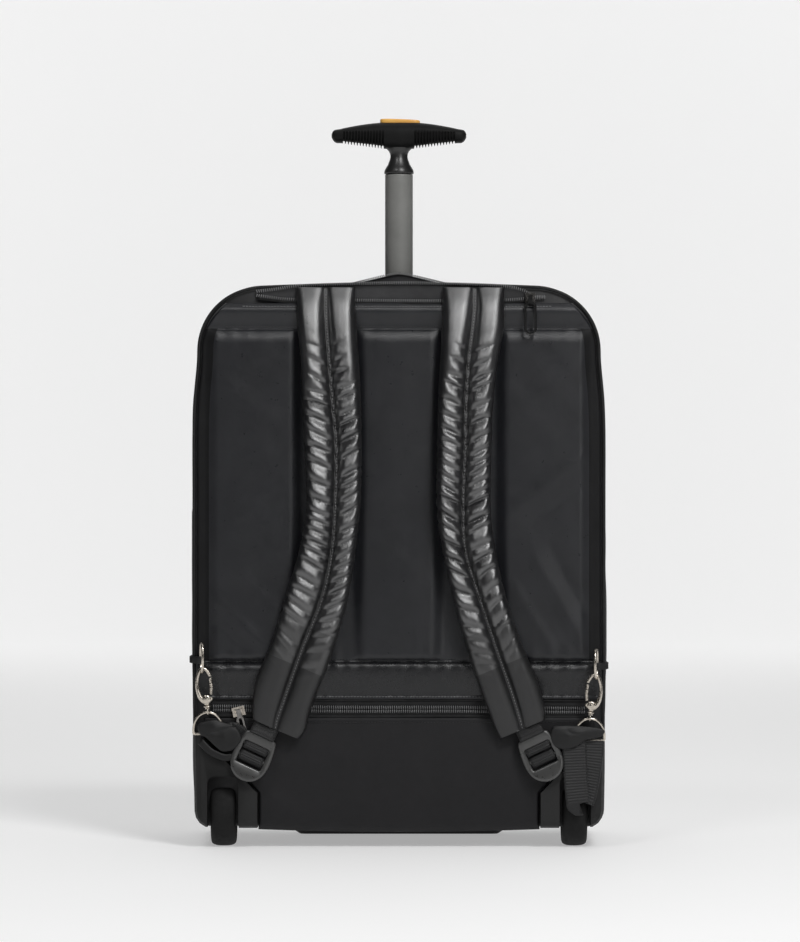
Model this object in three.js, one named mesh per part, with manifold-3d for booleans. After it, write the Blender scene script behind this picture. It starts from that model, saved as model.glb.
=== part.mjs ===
// Wheeled backpack with a single-tube trolley handle and two stowable shoulder straps.
// Millimetres, +Z up, the harness side faces -Y, and the bag stands on z = 0.
import * as THREE from 'three';
import { mergeVertices } from 'three/addons/utils/BufferGeometryUtils.js';
import Module from 'manifold-3d';

const wasm = await Module();
wasm.setup();

// Driving dimensions: bag
const BODY_WIDTH = 398;
const BODY_DEPTH = 200;
const BODY_TOP = 539;
const BODY_BOTTOM = 19;
const REAR_Y = -84;
const TOP_CORNER = 62;
const BOTTOM_CORNER = 16;
const EDGE_ROUND = 24;
const WALL = 3;
const GAP = 0.3;
const CUT_MARGIN = 60;

// Driving dimensions: rear panels and zips
const PANEL_SHEET = 4;
const PAD_HEIGHT = 8;
const PAD_BEVEL = 5;
const PANEL_DROP = 16.5;
const PANEL_BOTTOM = 143;
const PANEL_MARGIN = 13;
const PAD_DROP = 43;
const PAD_RISE = 36;
const SIDE_PAD_WIDTH = 90;
const CENTRE_PAD_WIDTH = 84;
const PAD_CORNER = 14;
const PAD_SIDE_MARGIN = 3;
const LOWER_ZIP_WIDTH = 19;
const LOWER_PANEL_SHEET = 6;
const LOWER_PANEL_MARGIN = 10;
const ZIP_THICK = 2.4;
const LOWER_ZIP_MARGIN = 19;
const TOP_ZIP_HALF = 135;
const TOP_ZIP_DROP = 10.7;
const TOP_ZIP_RISE = 3.6;
const TOP_ZIP_TAPE = 3;
const PIPING = 4.6;
const PIPING_INSET = 7;
const PIPING_FOOT = 20;
const FRONT_SEAM_SHARE = 0.93;
const MAIN_ZIP_SHARE = 0.66;
const MAIN_ZIP_WIDTH = 9;
const MAIN_ZIP_THICK = 1.4;
const MAIN_ZIP_LOW = 70;

// Driving dimensions: trolley handle
const TUBE_DIAMETER = 27;
const TUBE_WALL = 1.5;
const TUBE_LENGTH = 480;
const HANDLE_OUT = 111;
const TUBE_INSET = 45;
const SLEEVE_WALL = 2.5;
const SLEEVE_CLEARANCE = 0.5;
const SLIT_LENGTH = 91;
const SLIT_WIDTH = 38;
const SLIT_TAPE = 6;
const SLIT_HUMP = 8.5;
const NECK_DIAMETER = 17;
const NECK_LENGTH = 25;
const GRIP_WIDTH = 131;
const GRIP_HEIGHT = 24;
const GRIP_DEPTH = 32;
const GRIP_TEETH = 13;
const TEETH_START = 14;
const TOOTH_PITCH = 3.2;
const TOOTH_SLOT = 1.5;
const TOOTH_DEPTH = 3;
const BUTTON_WIDTH = 39;
const BUTTON_DEPTH = 13;
const BUTTON_OFFSET = 1.5;
const BUTTON_WELL = 7;
const BUTTON_PROUD = 3.4;
const BUTTON_TRAVEL = 3;

// Driving dimensions: wheels and base
const WHEEL_DIAMETER = 66;
const WHEEL_WIDTH = 24;
const WHEEL_INSET = 30;
const WHEEL_SETBACK = 22;
const WHEEL_CLEARANCE = 3;
const WHEEL_SIDES = 20;
const AXLE_DIAMETER = 7;
const AXLE_SEAT = 5;
const HOUSING_WIDTH = 63;
const HOUSING_HEIGHT = 90;
const HOUSING_LOW_SIDE = 34;
const HOUSING_REAR = 13;
const HOUSING_FRONT = 14;
const FOOT_WIDTH = 226;
const FOOT_DEPTH = 26;
const FOOT_INSET = 28;

// Driving dimensions: straps and their hardware
const STRAP_WIDTH = 57;
const STRAP_THICK = 13;
const STRAP_TOP_DROP = 4.4;
const STRAP_DROP = 421.6;
const STRAP_REACH = 60;
const STRAP_FOOT_INSET = 78;
const STRAP_LIFT = 12;
const STRAP_STEPS = 36;
const RIPPLE = 1.6;
const GATHER_FROM = 0.24;
const GATHER_TO = 0.86;
const WEBBING_WIDTH = 25;
const WEBBING_THICK = 1.8;
const LOCK_LENGTH = 46;
const LOCK_WIDTH = 38;
const LOCK_THICK = 5;
const LOCK_OFFSET = 17;
const LOCK_DROP = 24.5;
const LOCK_PROUD = 4.7;
const LOCK_LEAN = 0.44;
const RING_WIRE = 3;
const RING_WIDTH = 31;
const RING_HEIGHT = 23;
const SIDE_RING_LENGTH = 29;
const SIDE_RING_WIDTH = 22;
const SIDE_RING_CORNER = 8;
const SIDE_RING_INSET = 10.2;
const SIDE_RING_Z = 180.5;
const SIDE_RING_TURN = 1.05;
const SIDE_TAB_HEIGHT = 11;
const HOOK_LENGTH = 36;
const HOOK_WIDTH = 19;
const HOOK_WIRE = 3.6;
const GATE_WIRE = 2.8;
const GATE_TOP = 0.5;
const GATE_FOOT = -0.85;
const GATE_FOOT_GAP = 1.6;
const GATE_TIP_GAP = 1.4;
const STEM_LENGTH = 1;
const SWIVEL_HEAD = 3;
const EYE_SIZE = 3;
const EYE_WIRE = 1.8;
const HOOK_INSET = 11;
const HOOK_PROUD = 6.3;
const HOOK_BITE = 8.7;
const HOOK_LEAN = 0.12;
const TAB_WIDTH = 33;
const TAB_HEIGHT = 24;
const TAB_THICK = 5;
const TAB_INSET = 25;
const TAB_DROP = 6;
const LOOP_HANG = 56;
const LOOP_SHIFT = 4.5;
const PLY_OFFSET = 0.15;
const RIGHT_DROP = 6;
const SLIDER_THICK = 3;
const EAR_REACH = 4.8;
const EAR_THICK = 1.6;
const PIN_DIAMETER = 1.8;
const PULL_HEAD = 4.6;
const PULL_THICK = 3;
const TOP_PULL_LENGTH = 37;
const TOP_PULL_WIDTH = 12;
const TOP_PULL_TILT = 0.2;
const TOP_SLIDER_INSET = 9;
const LOWER_SLIDER_INSET = 26;
const LOWER_SLIDER_DROP = 2.5;
const LOWER_SLIDER_LEAN = 0.24;
const LOWER_PULL_LENGTH = 20;
const LOWER_PULL_WIDTH = 8;

// Values worked out from them
const HALF_WIDTH = BODY_WIDTH / 2;
const BODY_HEIGHT = BODY_TOP - BODY_BOTTOM;
const STRAP_SPREAD = HALF_WIDTH - STRAP_FOOT_INSET - STRAP_REACH;
const TUBE_Y = REAR_Y + TUBE_INSET;
const SHEET_Y = REAR_Y - GAP - PANEL_SHEET;
const PAD_Y = SHEET_Y - PAD_HEIGHT;
const PANEL_TOP = BODY_TOP - PANEL_DROP;
const PAD_TOP = BODY_TOP - PAD_DROP;
const PAD_BOTTOM = PANEL_BOTTOM + PAD_RISE;
const LOWER_PANEL_TOP = PANEL_BOTTOM - LOWER_ZIP_WIDTH;
const LOWER_ZIP_HALF = HALF_WIDTH - LOWER_ZIP_MARGIN;
const TOP_ZIP_Z = BODY_TOP - TOP_ZIP_DROP;
const TUBE_TOP = BODY_TOP + HANDLE_OUT;
const WHEEL_X = HALF_WIDTH - WHEEL_INSET;
const WHEEL_Y = REAR_Y + WHEEL_SETBACK;
const STRAP_TOP = BODY_TOP - STRAP_TOP_DROP;
const LOCK_X = STRAP_REACH + STRAP_SPREAD + LOCK_OFFSET;
const LOCK_Y = PAD_Y - LOCK_PROUD;
const LOCK_Z = STRAP_TOP - STRAP_DROP - LOCK_DROP;
const SIDE_RING_X = HALF_WIDTH - SIDE_RING_INSET;
const HOOK_X = HALF_WIDTH - HOOK_INSET;
const HOOK_Y = PAD_Y - HOOK_PROUD;
const HOOK_Z = SIDE_RING_Z - SIDE_RING_LENGTH / 2 + HOOK_BITE;
const EYE_DROP = HOOK_LENGTH + STEM_LENGTH + GAP + SWIVEL_HEAD + EYE_SIZE;
const STRAP_RING_X = HOOK_X - EYE_DROP * Math.sin(HOOK_LEAN);
const STRAP_RING_Z = HOOK_Z - EYE_DROP * Math.cos(HOOK_LEAN) - (RING_HEIGHT - RING_WIRE);
const TAB_X = HALF_WIDTH - TAB_INSET;
const TAB_Z = STRAP_RING_Z - TAB_DROP;
const LOOP_LOW = TAB_Z - RIGHT_DROP - LOOP_HANG;

// Half width of the bag at a height: shares of the height and of half the width
const SIDE_ROWS = [
  { up: 0.0, out: 0.985 },
  { up: 0.16, out: 0.995 },
  { up: 0.34, out: 1.0 },
  { up: 0.62, out: 1.0 },
  { up: 0.79, out: 0.995 },
  { up: 0.88, out: 0.977 },
  { up: 1.0, out: 0.977 },
];

// Bag sections from rear to front: shares of the depth and of the edge rounding
const DEPTH_ROWS = [
  { along: 0.0, inset: 0.42 },
  { along: 0.012, inset: 0.2 },
  { along: 0.05, inset: 0.06 },
  { along: 0.14, inset: 0.0 },
  { along: 0.5, inset: -0.02 },
  { along: 0.84, inset: 0.02 },
  { along: 0.93, inset: 0.2 },
  { along: 0.98, inset: 0.55 },
  { along: 1.0, inset: 1.0 },
  { along: 1.02, inset: 2.4 },
  { along: 1.03, inset: 4.6 },
];

function material(color, roughness, metalness = 0) {
  return new THREE.MeshStandardMaterial({ color, roughness, metalness });
}

const coated = () => material(0x161618, 0.38);
const cloth = () => material(0x101012, 0.85);
const webbing = () => material(0x141416, 0.9);
const plastic = () => material(0x2a2b2d, 0.6);
const nickel = () => material(0xb9b3aa, 0.25, 1);
const anodised = () => material(0x4a4a4b, 0.35, 1);
const orange = () => material(0xf29a12, 0.45);
const rubber = () => material(0x333435, 0.7);

function named(name, geometry, look) {
  const mesh = new THREE.Mesh(geometry, look);
  mesh.name = name;
  return mesh;
}

// Value of a table's column at a share of its first column, on straight lines between rows
function valueAt(rows, keyName, valueName, key) {
  const last = rows.length - 1;
  if (key <= rows[0][keyName]) return rows[0][valueName];
  if (key >= rows[last][keyName]) return rows[last][valueName];
  const next = rows.findIndex((row) => row[keyName] > key);
  const before = rows[next - 1];
  const after = rows[next];
  const t = (key - before[keyName]) / (after[keyName] - before[keyName]);
  return THREE.MathUtils.lerp(before[valueName], after[valueName], t);
}

// Closed body from vertices and triangles, turned so that its faces point out
function body(points, triangles) {
  let volume = 0;
  for (const [a, b, c] of triangles) {
    volume += points[a].clone().cross(points[b]).dot(points[c]);
  }
  const faces = volume < 0 ? triangles.map(([a, b, c]) => [a, c, b]) : triangles;
  const geometry = new THREE.BufferGeometry();
  const flat = points.flatMap((p) => [p.x, p.y, p.z]);
  geometry.setAttribute('position', new THREE.Float32BufferAttribute(flat, 3));
  geometry.setIndex(faces.flat());
  return geometry;
}

// Skin over rings of equal count: ends capped round a middle point, or joined into a closed loop
function skin(rings, looped = false) {
  const count = rings[0].length;
  const points = rings.flat();
  const triangles = [];
  const spans = looped ? rings.length : rings.length - 1;
  for (let i = 0; i < spans; i++) {
    const here = i * count;
    const there = ((i + 1) % rings.length) * count;
    for (let j = 0; j < count; j++) {
      const k = (j + 1) % count;
      triangles.push([here + j, here + k, there + k], [here + j, there + k, there + j]);
    }
  }
  if (looped) return body(points, triangles);
  for (const [index, forward] of [[0, false], [rings.length - 1, true]]) {
    points.push(centre(rings[index]));
    const hub = points.length - 1;
    for (let j = 0; j < count; j++) {
      const a = index * count + j;
      const b = index * count + ((j + 1) % count);
      triangles.push(forward ? [hub, a, b] : [hub, b, a]);
    }
  }
  return body(points, triangles);
}

function centre(ring) {
  const sum = new THREE.Vector3();
  for (const p of ring) sum.add(p);
  return sum.divideScalar(ring.length);
}

// Solid for joins and cuts, and the way back to a geometry
function solid(geometry) {
  const plain = geometry.clone();
  plain.deleteAttribute('normal');
  plain.deleteAttribute('uv');
  const merged = mergeVertices(plain, 1e-4);
  return new wasm.Manifold(new wasm.Mesh({
    numProp: 3,
    vertProperties: new Float32Array(merged.attributes.position.array),
    triVerts: new Uint32Array(merged.index.array),
  }));
}

function geometryOf(manifold) {
  const mesh = manifold.getMesh();
  const geometry = new THREE.BufferGeometry();
  geometry.setAttribute('position', new THREE.BufferAttribute(mesh.vertProperties, 3));
  geometry.setIndex(new THREE.BufferAttribute(mesh.triVerts, 1));
  return geometry;
}

function joined(first, ...others) {
  return geometryOf(others.reduce((sum, part) => sum.add(solid(part)), solid(first)));
}

function cut(first, ...others) {
  return geometryOf(others.reduce((rest, part) => rest.subtract(solid(part)), solid(first)));
}

function common(first, second) {
  return geometryOf(solid(first).intersect(solid(second)));
}

// Outline in X and Z, extruded along Y from one depth to another
function slab(outline, fromY, toY, bevel = 0, steps = 2) {
  const shape = new THREE.Shape(outline.map(([x, z]) => new THREE.Vector2(x, z)));
  const geometry = new THREE.ExtrudeGeometry(shape, {
    depth: toY - fromY - 2 * bevel,
    bevelEnabled: bevel > 0,
    bevelSize: bevel,
    bevelThickness: bevel,
    bevelOffset: -bevel,
    bevelSegments: steps,
  });
  geometry.rotateX(Math.PI / 2);
  return geometry.translate(0, toY - bevel, 0);
}

function block(fromX, toX, fromY, toY, fromZ, toZ) {
  const geometry = new THREE.BoxGeometry(toX - fromX, toY - fromY, toZ - fromZ);
  return geometry.translate((fromX + toX) / 2, (fromY + toY) / 2, (fromZ + toZ) / 2);
}

// Rounded rectangle in X and Z as a list of points
function roundedBox(fromX, toX, fromZ, toZ, radius, steps = 4) {
  const points = [];
  const corners = [
    [toX - radius, toZ - radius, 0],
    [fromX + radius, toZ - radius, 1],
    [fromX + radius, fromZ + radius, 2],
    [toX - radius, fromZ + radius, 3],
  ];
  for (const [x, z, quarter] of corners) {
    for (let i = 0; i <= steps; i++) {
      const angle = (quarter + i / steps) * Math.PI / 2;
      points.push([x + radius * Math.cos(angle), z + radius * Math.sin(angle)]);
    }
  }
  return points;
}

// Turned body round a line along Z, from rows of radius and height that close on themselves
function turned(profile, sides) {
  const rings = [];
  for (let i = 0; i < sides; i++) {
    const angle = (i / sides) * Math.PI * 2;
    rings.push(profile.map(([r, z]) => new THREE.Vector3(r * Math.cos(angle), r * Math.sin(angle), z)));
  }
  return skin(rings, true);
}

function rod(radius, fromZ, toZ, sides) {
  const geometry = new THREE.CylinderGeometry(radius, radius, toZ - fromZ, sides);
  return geometry.rotateX(Math.PI / 2).translate(0, 0, (fromZ + toZ) / 2);
}

// Wire of round section along a path
function wire(path, diameter, sides, steps) {
  const shape = new THREE.Shape();
  for (let i = 0; i < sides; i++) {
    const angle = ((i + 0.5) / sides) * Math.PI * 2;
    const x = (diameter / 2) * Math.cos(angle);
    const y = (diameter / 2) * Math.sin(angle);
    if (i === 0) shape.moveTo(x, y);
    else shape.lineTo(x, y);
  }
  return new THREE.ExtrudeGeometry(shape, { steps, extrudePath: path, bevelEnabled: false });
}

// Bag outline in X and Z, grown outwards or inwards, with the widths of SIDE_ROWS
function bagOutline(grow) {
  const top = BODY_TOP + grow;
  const bottom = BODY_BOTTOM - grow;
  const high = Math.max(TOP_CORNER + grow, 4);
  const low = Math.max(BOTTOM_CORNER + grow, 4);
  const halfAt = (z) => HALF_WIDTH * valueAt(SIDE_ROWS, 'up', 'out', (z - BODY_BOTTOM) / BODY_HEIGHT) + grow;
  const right = [];
  for (const share of [0, 0.5]) right.push([share * (halfAt(bottom) - low), bottom]);
  for (let i = 0; i <= 4; i++) {
    const angle = (i / 4) * Math.PI / 2;
    const z = bottom + low - low * Math.cos(angle);
    right.push([halfAt(z) - low + low * Math.sin(angle), z]);
  }
  for (const share of [0.25, 0.5, 0.75]) {
    const z = THREE.MathUtils.lerp(bottom + low, top - high, share);
    right.push([halfAt(z), z]);
  }
  for (let i = 0; i <= 7; i++) {
    const angle = (i / 7) * Math.PI / 2;
    const z = top - high + high * Math.sin(angle);
    right.push([halfAt(z) - high + high * Math.cos(angle), z]);
  }
  right.push([0, top]);
  const left = right.slice(1, -1).reverse().map(([x, z]) => [-x, z]);
  return [...right, ...left];
}

function bagRing(y, grow) {
  return bagOutline(grow).map(([x, z]) => new THREE.Vector3(x, y, z));
}

// The bag's outer surface, or its inner one when shrunk by a wall
function bagBody(shrink) {
  const from = REAR_Y + shrink;
  const to = REAR_Y + BODY_DEPTH - shrink;
  const rings = DEPTH_ROWS.map((row) => {
    const y = THREE.MathUtils.lerp(from, to, row.along);
    return bagRing(y, -row.inset * EDGE_ROUND - shrink);
  });
  return skin(rings);
}

// Closed section swept along stations; each station holds its place, axes and sizes
function sweep(section, stations, looped = false) {
  const rings = stations.map((s) => section.map(([a, b]) => s.at.clone()
    .addScaledVector(s.side, (a * s.width) / 2)
    .addScaledVector(s.up, (b * s.thick) / 2)));
  return skin(rings, looped);
}

// Stations along points, with either the width direction or the outward direction held
function stationsAlong(points, held, width, thick, looped = false) {
  const last = points.length - 1;
  return points.map((at, i) => {
    const before = looped ? points[(i + last) % points.length] : points[Math.max(i - 1, 0)];
    const after = looped ? points[(i + 1) % points.length] : points[Math.min(i + 1, last)];
    const along = after.clone().sub(before).normalize();
    const side = held.side ? held.side.clone() : held.up.clone().cross(along).normalize();
    const up = held.up ? held.up.clone() : along.clone().cross(held.side).normalize();
    return { at, side, up, width, thick };
  });
}

const FLAT_SECTION = [[1, 1], [-1, 1], [-1, -1], [1, -1]];

function roundSection(sides) {
  const section = [];
  for (let i = 0; i < sides; i++) {
    const angle = ((i + 0.5) / sides) * Math.PI * 2;
    section.push([Math.cos(angle), Math.sin(angle)]);
  }
  return section;
}

const v3 = (x, y, z) => new THREE.Vector3(x, y, z);
const BACKWARD = v3(0, -1, 0);

// Places shared by several pieces
const SLEEVE_INNER = TUBE_DIAMETER / 2 + SLEEVE_CLEARANCE;
const SLEEVE_OUTER = SLEEVE_INNER + SLEEVE_WALL;
const TUBE_SIDES = 20;
const BASE_Z = BODY_BOTTOM + WALL + GAP;
const SLEEVE_TOP = BODY_TOP - 8;
const INNER_X = WHEEL_X - WHEEL_WIDTH / 2 - WHEEL_CLEARANCE;
const OUTER_X = WHEEL_X + WHEEL_WIDTH / 2 + WHEEL_CLEARANCE;
const WHEEL_Z = WHEEL_DIAMETER / 2;

// Corner guard seen from behind: square low corner and a slanted inner edge
function cornerOutline(side, grow) {
  const outer = HALF_WIDTH + CUT_MARGIN;
  const inner = HALF_WIDTH - HOUSING_WIDTH - grow;
  const low = BODY_BOTTOM - CUT_MARGIN;
  const rise = HOUSING_HEIGHT + BODY_BOTTOM + grow;
  const slantEnd = HOUSING_LOW_SIDE + BODY_BOTTOM + grow;
  const points = [[outer, low], [outer, rise], [HALF_WIDTH - 8, rise], [inner, slantEnd], [inner, low]];
  return points.map(([x, z]) => [side * x, z]);
}

const HOUSING_END = WHEEL_Y + WHEEL_Z + WHEEL_CLEARANCE + HOUSING_FRONT;

function cornerPrism(side, grow) {
  return slab(cornerOutline(side, grow), REAR_Y - CUT_MARGIN, HOUSING_END + grow);
}

// Lens-shaped slit that the trolley tube comes out of
function slitOutline(grow, steps) {
  const points = [];
  for (let i = 0; i < steps * 2; i++) {
    const angle = (i / steps) * Math.PI;
    const x = (SLIT_LENGTH / 2 + grow) * Math.cos(angle);
    const y = (SLIT_WIDTH / 2 + grow) * Math.sin(angle);
    points.push([x, TUBE_Y + y]);
  }
  return points;
}

function slitPrism() {
  const low = slitOutline(0, 10).map(([x, y]) => v3(x, y, BODY_TOP - 20));
  const high = slitOutline(0, 10).map(([x, y]) => v3(x, y, BODY_TOP + 20));
  return skin([low, high]);
}

function shell() {
  const sides = [-1, 1];
  const outside = sides.reduce((rest, s) => rest.subtract(solid(cornerPrism(s, GAP))), solid(bagBody(0)));
  const inside = sides.reduce((rest, s) => rest.subtract(solid(cornerPrism(s, GAP + WALL))), solid(bagBody(WALL)));
  return geometryOf(outside.subtract(inside).subtract(solid(slitPrism())));
}

// Part of the bag's rear outline between two heights, drawn in by a margin
function panelOutline(margin, fromZ, toZ, steps) {
  const halfAt = (z) => {
    const top = BODY_TOP - margin;
    const high = TOP_CORNER - margin;
    const half = HALF_WIDTH * valueAt(SIDE_ROWS, 'up', 'out', (z - BODY_BOTTOM) / BODY_HEIGHT) - margin;
    const over = Math.max(z - (top - high), 0);
    return half - high + Math.sqrt(Math.max(high * high - over * over, 0));
  };
  const right = [];
  for (let i = 0; i <= steps; i++) {
    const z = THREE.MathUtils.lerp(fromZ, toZ, Math.sin((i / steps) * Math.PI * 0.44) / Math.sin(Math.PI * 0.44));
    right.push([halfAt(z), z]);
  }
  const left = right.map(([x, z]) => [-x, z]).reverse();
  return [...right, ...left];
}

function backPanel() {
  const sheet = slab(panelOutline(PANEL_MARGIN, PANEL_BOTTOM, PANEL_TOP, 9), SHEET_Y, REAR_Y - GAP);
  const padEnd = SHEET_Y + PANEL_SHEET - 0.5;
  const outer = HALF_WIDTH * 0.95 - PANEL_MARGIN + PAD_SIDE_MARGIN;
  const columns = [
    [-outer, -outer + SIDE_PAD_WIDTH],
    [-CENTRE_PAD_WIDTH / 2, CENTRE_PAD_WIDTH / 2],
    [outer - SIDE_PAD_WIDTH, outer],
  ];
  const pads = columns.map(([from, to]) => slab(
    roundedBox(from, to, PAD_BOTTOM, PAD_TOP, PAD_CORNER, 3), PAD_Y, padEnd, PAD_BEVEL));
  const bandHalf = HALF_WIDTH - PANEL_MARGIN - 4;
  const band = slab(
    roundedBox(-bandHalf, bandHalf, PANEL_BOTTOM + 3, PAD_BOTTOM - 3, 8, 2), PAD_Y + 1, padEnd, PAD_BEVEL);
  return joined(sheet, ...pads, band);
}

function lowerBackPanel() {
  const front = REAR_Y - GAP;
  const outline = panelOutline(LOWER_PANEL_MARGIN, BODY_BOTTOM + 4, LOWER_PANEL_TOP, 3);
  const panel = slab(outline, front - LOWER_PANEL_SHEET, front, 2, 1);
  return cut(panel, cornerPrism(-1, GAP), cornerPrism(1, GAP));
}

// Rear piping: drawn in at the sides and lifted to the top edge above the zip mouth
function rearPiping() {
  const points = bagOutline(-PIPING_INSET).map(([x, z]) => {
    const share = THREE.MathUtils.smoothstep(z, BODY_TOP - 1.5 * TOP_CORNER, BODY_TOP - PIPING_INSET);
    return v3(x, REAR_Y - GAP - PIPING / 2, z + share * (PIPING_INSET - PIPING / 2 + 1));
  });
  const loop = sweep(roundSection(5), stationsAlong(points, { side: v3(0, 1, 0) }, PIPING, PIPING, true), true);
  const base = block(-BODY_WIDTH, BODY_WIDTH, REAR_Y - CUT_MARGIN, REAR_Y + CUT_MARGIN,
    BODY_BOTTOM - CUT_MARGIN, BODY_BOTTOM + PIPING_FOOT);
  return cut(loop, cornerPrism(-1, GAP), cornerPrism(1, GAP), base);
}

function strapPocketZip() {
  const y = REAR_Y - GAP - ZIP_THICK / 2;
  const points = roundedBox(
    -TOP_ZIP_HALF, TOP_ZIP_HALF, TOP_ZIP_Z - TOP_ZIP_RISE, TOP_ZIP_Z + TOP_ZIP_RISE, TOP_ZIP_RISE * 0.98, 3);
  const places = points.map(([x, z]) => v3(x, y, z));
  return sweep(FLAT_SECTION, stationsAlong(places, { side: v3(0, 1, 0) }, ZIP_THICK, TOP_ZIP_TAPE, true), true);
}

function lowerZip() {
  return block(-LOWER_ZIP_HALF, LOWER_ZIP_HALF, REAR_Y - GAP - ZIP_THICK, REAR_Y - GAP,
    LOWER_PANEL_TOP + GAP, PANEL_BOTTOM - GAP);
}

// Tape round the slit: its lip rises in a hump behind the trolley tube
function handleZip() {
  const grow = SLIT_TAPE / 2 + GAP;
  const half = SLIT_LENGTH / 2 + grow;
  const foot = BODY_TOP + 0.5 + GAP;
  const stations = slitOutline(grow, 12).map(([x, y]) => {
    const share = y < TUBE_Y ? 1 : 0.3;
    const height = ZIP_THICK + SLIT_HUMP * share * (1 - (x / half) ** 2);
    const out = v3(x / half, (y - TUBE_Y) / (SLIT_WIDTH / 2 + grow), 0).normalize();
    return { at: v3(x, y, foot + height / 2), side: out, up: v3(0, 0, 1), width: SLIT_TAPE, thick: height };
  });
  return sweep(FLAT_SECTION, stations, true);
}

// Stack of round sections, from rows of height and radius
function stack(rows, sides) {
  const rings = rows.map(([z, radius]) => roundSection(sides).map(([a, b]) => v3(radius * a, radius * b, z)));
  return skin(rings);
}

function trolley() {
  const inner = TUBE_DIAMETER / 2;
  const tube = turned([
    [inner, TUBE_TOP - TUBE_LENGTH], [inner, TUBE_TOP],
    [inner - TUBE_WALL, TUBE_TOP], [inner - TUBE_WALL, TUBE_TOP - TUBE_LENGTH],
  ], TUBE_SIDES);
  const sleeve = turned([
    [SLEEVE_OUTER, BASE_Z], [SLEEVE_OUTER, SLEEVE_TOP], [SLEEVE_INNER, SLEEVE_TOP], [SLEEVE_INNER, BASE_Z],
  ], TUBE_SIDES);
  const flange = SLEEVE_OUTER + 1.5;
  const collar = turned([
    [SLEEVE_INNER, SLEEVE_TOP + GAP], [flange, SLEEVE_TOP + GAP],
    [flange, BODY_TOP + 1], [SLEEVE_INNER, BODY_TOP + 3],
  ], TUBE_SIDES);
  const neckTop = TUBE_TOP + GAP + NECK_LENGTH;
  const thin = NECK_DIAMETER / 2;
  const neck = stack([
    [TUBE_TOP + GAP, inner - 0.3],
    [TUBE_TOP + 2, inner + 0.9],
    [TUBE_TOP + 4, inner + 0.6],
    [TUBE_TOP + 8, thin + 0.8],
    [TUBE_TOP + 12, thin],
    [neckTop - 7, thin],
    [neckTop - 3, thin + 1.6],
    [neckTop, thin + 5],
  ], TUBE_SIDES);
  const meshes = [
    named('inner_tube', tube, anodised()),
    named('outer_tube', sleeve, anodised()),
    named('tube_collar', collar, plastic()),
    named('handle_neck', neck, plastic()),
  ];
  for (const mesh of meshes) mesh.position.set(0, TUBE_Y, 0);
  return meshes;
}

// Grip sections from the middle to an end: shares of half the width, the height and half the depth
const GRIP_ROWS = [
  { out: 0.0, top: 1.0, low: 0.0, deep: 1.0 },
  { out: 0.2, top: 0.98, low: 0.0, deep: 1.0 },
  { out: 0.5, top: 0.86, low: 0.0, deep: 0.92 },
  { out: 0.8, top: 0.68, low: 0.0, deep: 0.78 },
  { out: 0.94, top: 0.58, low: 0.02, deep: 0.68 },
  { out: 0.985, top: 0.5, low: 0.1, deep: 0.52 },
  { out: 1.0, top: 0.42, low: 0.18, deep: 0.36 },
];

const GRIP_Z = TUBE_TOP + NECK_LENGTH + 2 * GAP;
const GRIP_TOP = GRIP_Z + GRIP_HEIGHT;
const GRIP_SECTION = [
  [1, 0.1], [0.82, 0.68], [0.45, 0.95], [0, 1], [-0.45, 0.95], [-0.82, 0.68],
  [-1, 0.1], [-0.94, -0.62], [-0.62, -1], [0.62, -1], [0.94, -0.62],
];

function buttonOutline(grow) {
  const shape = roundedBox(-BUTTON_WIDTH / 2 - grow, BUTTON_WIDTH / 2 + grow,
    -BUTTON_DEPTH / 2 - grow, BUTTON_DEPTH / 2 + grow, BUTTON_DEPTH / 2 - 0.5 + grow, 4);
  return shape.map(([x, y]) => [x + BUTTON_OFFSET, TUBE_Y + y]);
}

function prism(outline, fromZ, toZ) {
  return skin([fromZ, toZ].map((z) => outline.map(([x, y]) => v3(x, y, z))));
}

function handleGrip() {
  const right = GRIP_ROWS.map((row) => ({ ...row, x: (row.out * GRIP_WIDTH) / 2 }));
  const left = right.slice(1).reverse().map((row) => ({ ...row, x: -row.x }));
  const rings = [...left, ...right].map((row) => {
    const low = GRIP_Z + row.low * GRIP_HEIGHT;
    const high = GRIP_Z + row.top * GRIP_HEIGHT;
    return GRIP_SECTION.map(([a, b]) => v3(row.x, TUBE_Y + (a * row.deep * GRIP_DEPTH) / 2,
      (low + high) / 2 + (b * (high - low)) / 2));
  });
  const well = prism(buttonOutline(GAP), GRIP_TOP - BUTTON_WELL, GRIP_TOP + 20);
  const slots = [];
  for (const side of [-1, 1]) {
    for (let i = 0; i < GRIP_TEETH; i++) {
      const x = side * (TEETH_START + i * TOOTH_PITCH);
      slots.push(block(x - TOOTH_SLOT / 2, x + TOOTH_SLOT / 2, TUBE_Y - GRIP_DEPTH, TUBE_Y + GRIP_DEPTH,
        GRIP_Z - 5, GRIP_Z + TOOTH_DEPTH));
    }
  }
  return cut(skin(rings), well, ...slots);
}

function releaseButton() {
  const low = GRIP_TOP - BUTTON_WELL + BUTTON_TRAVEL + GAP;
  const high = GRIP_TOP + BUTTON_PROUD;
  const rings = [[low, 0], [high - 1.5, 0], [high, -2]].map(([z, grow]) => (
    buttonOutline(grow).map(([x, y]) => v3(x, y, z))));
  return skin(rings);
}

// Wheel profiles: shares of the wheel's radius and of half its width
const TYRE_ROWS = [
  [0.64, 0.72], [0.8, 1.0], [0.93, 0.78], [1.0, 0.3], [1.0, -0.3], [0.93, -0.78], [0.8, -1.0], [0.64, -0.72],
];

function alongX(geometry, x, y, z) {
  return geometry.rotateY(Math.PI / 2).translate(x, y, z);
}

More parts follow.
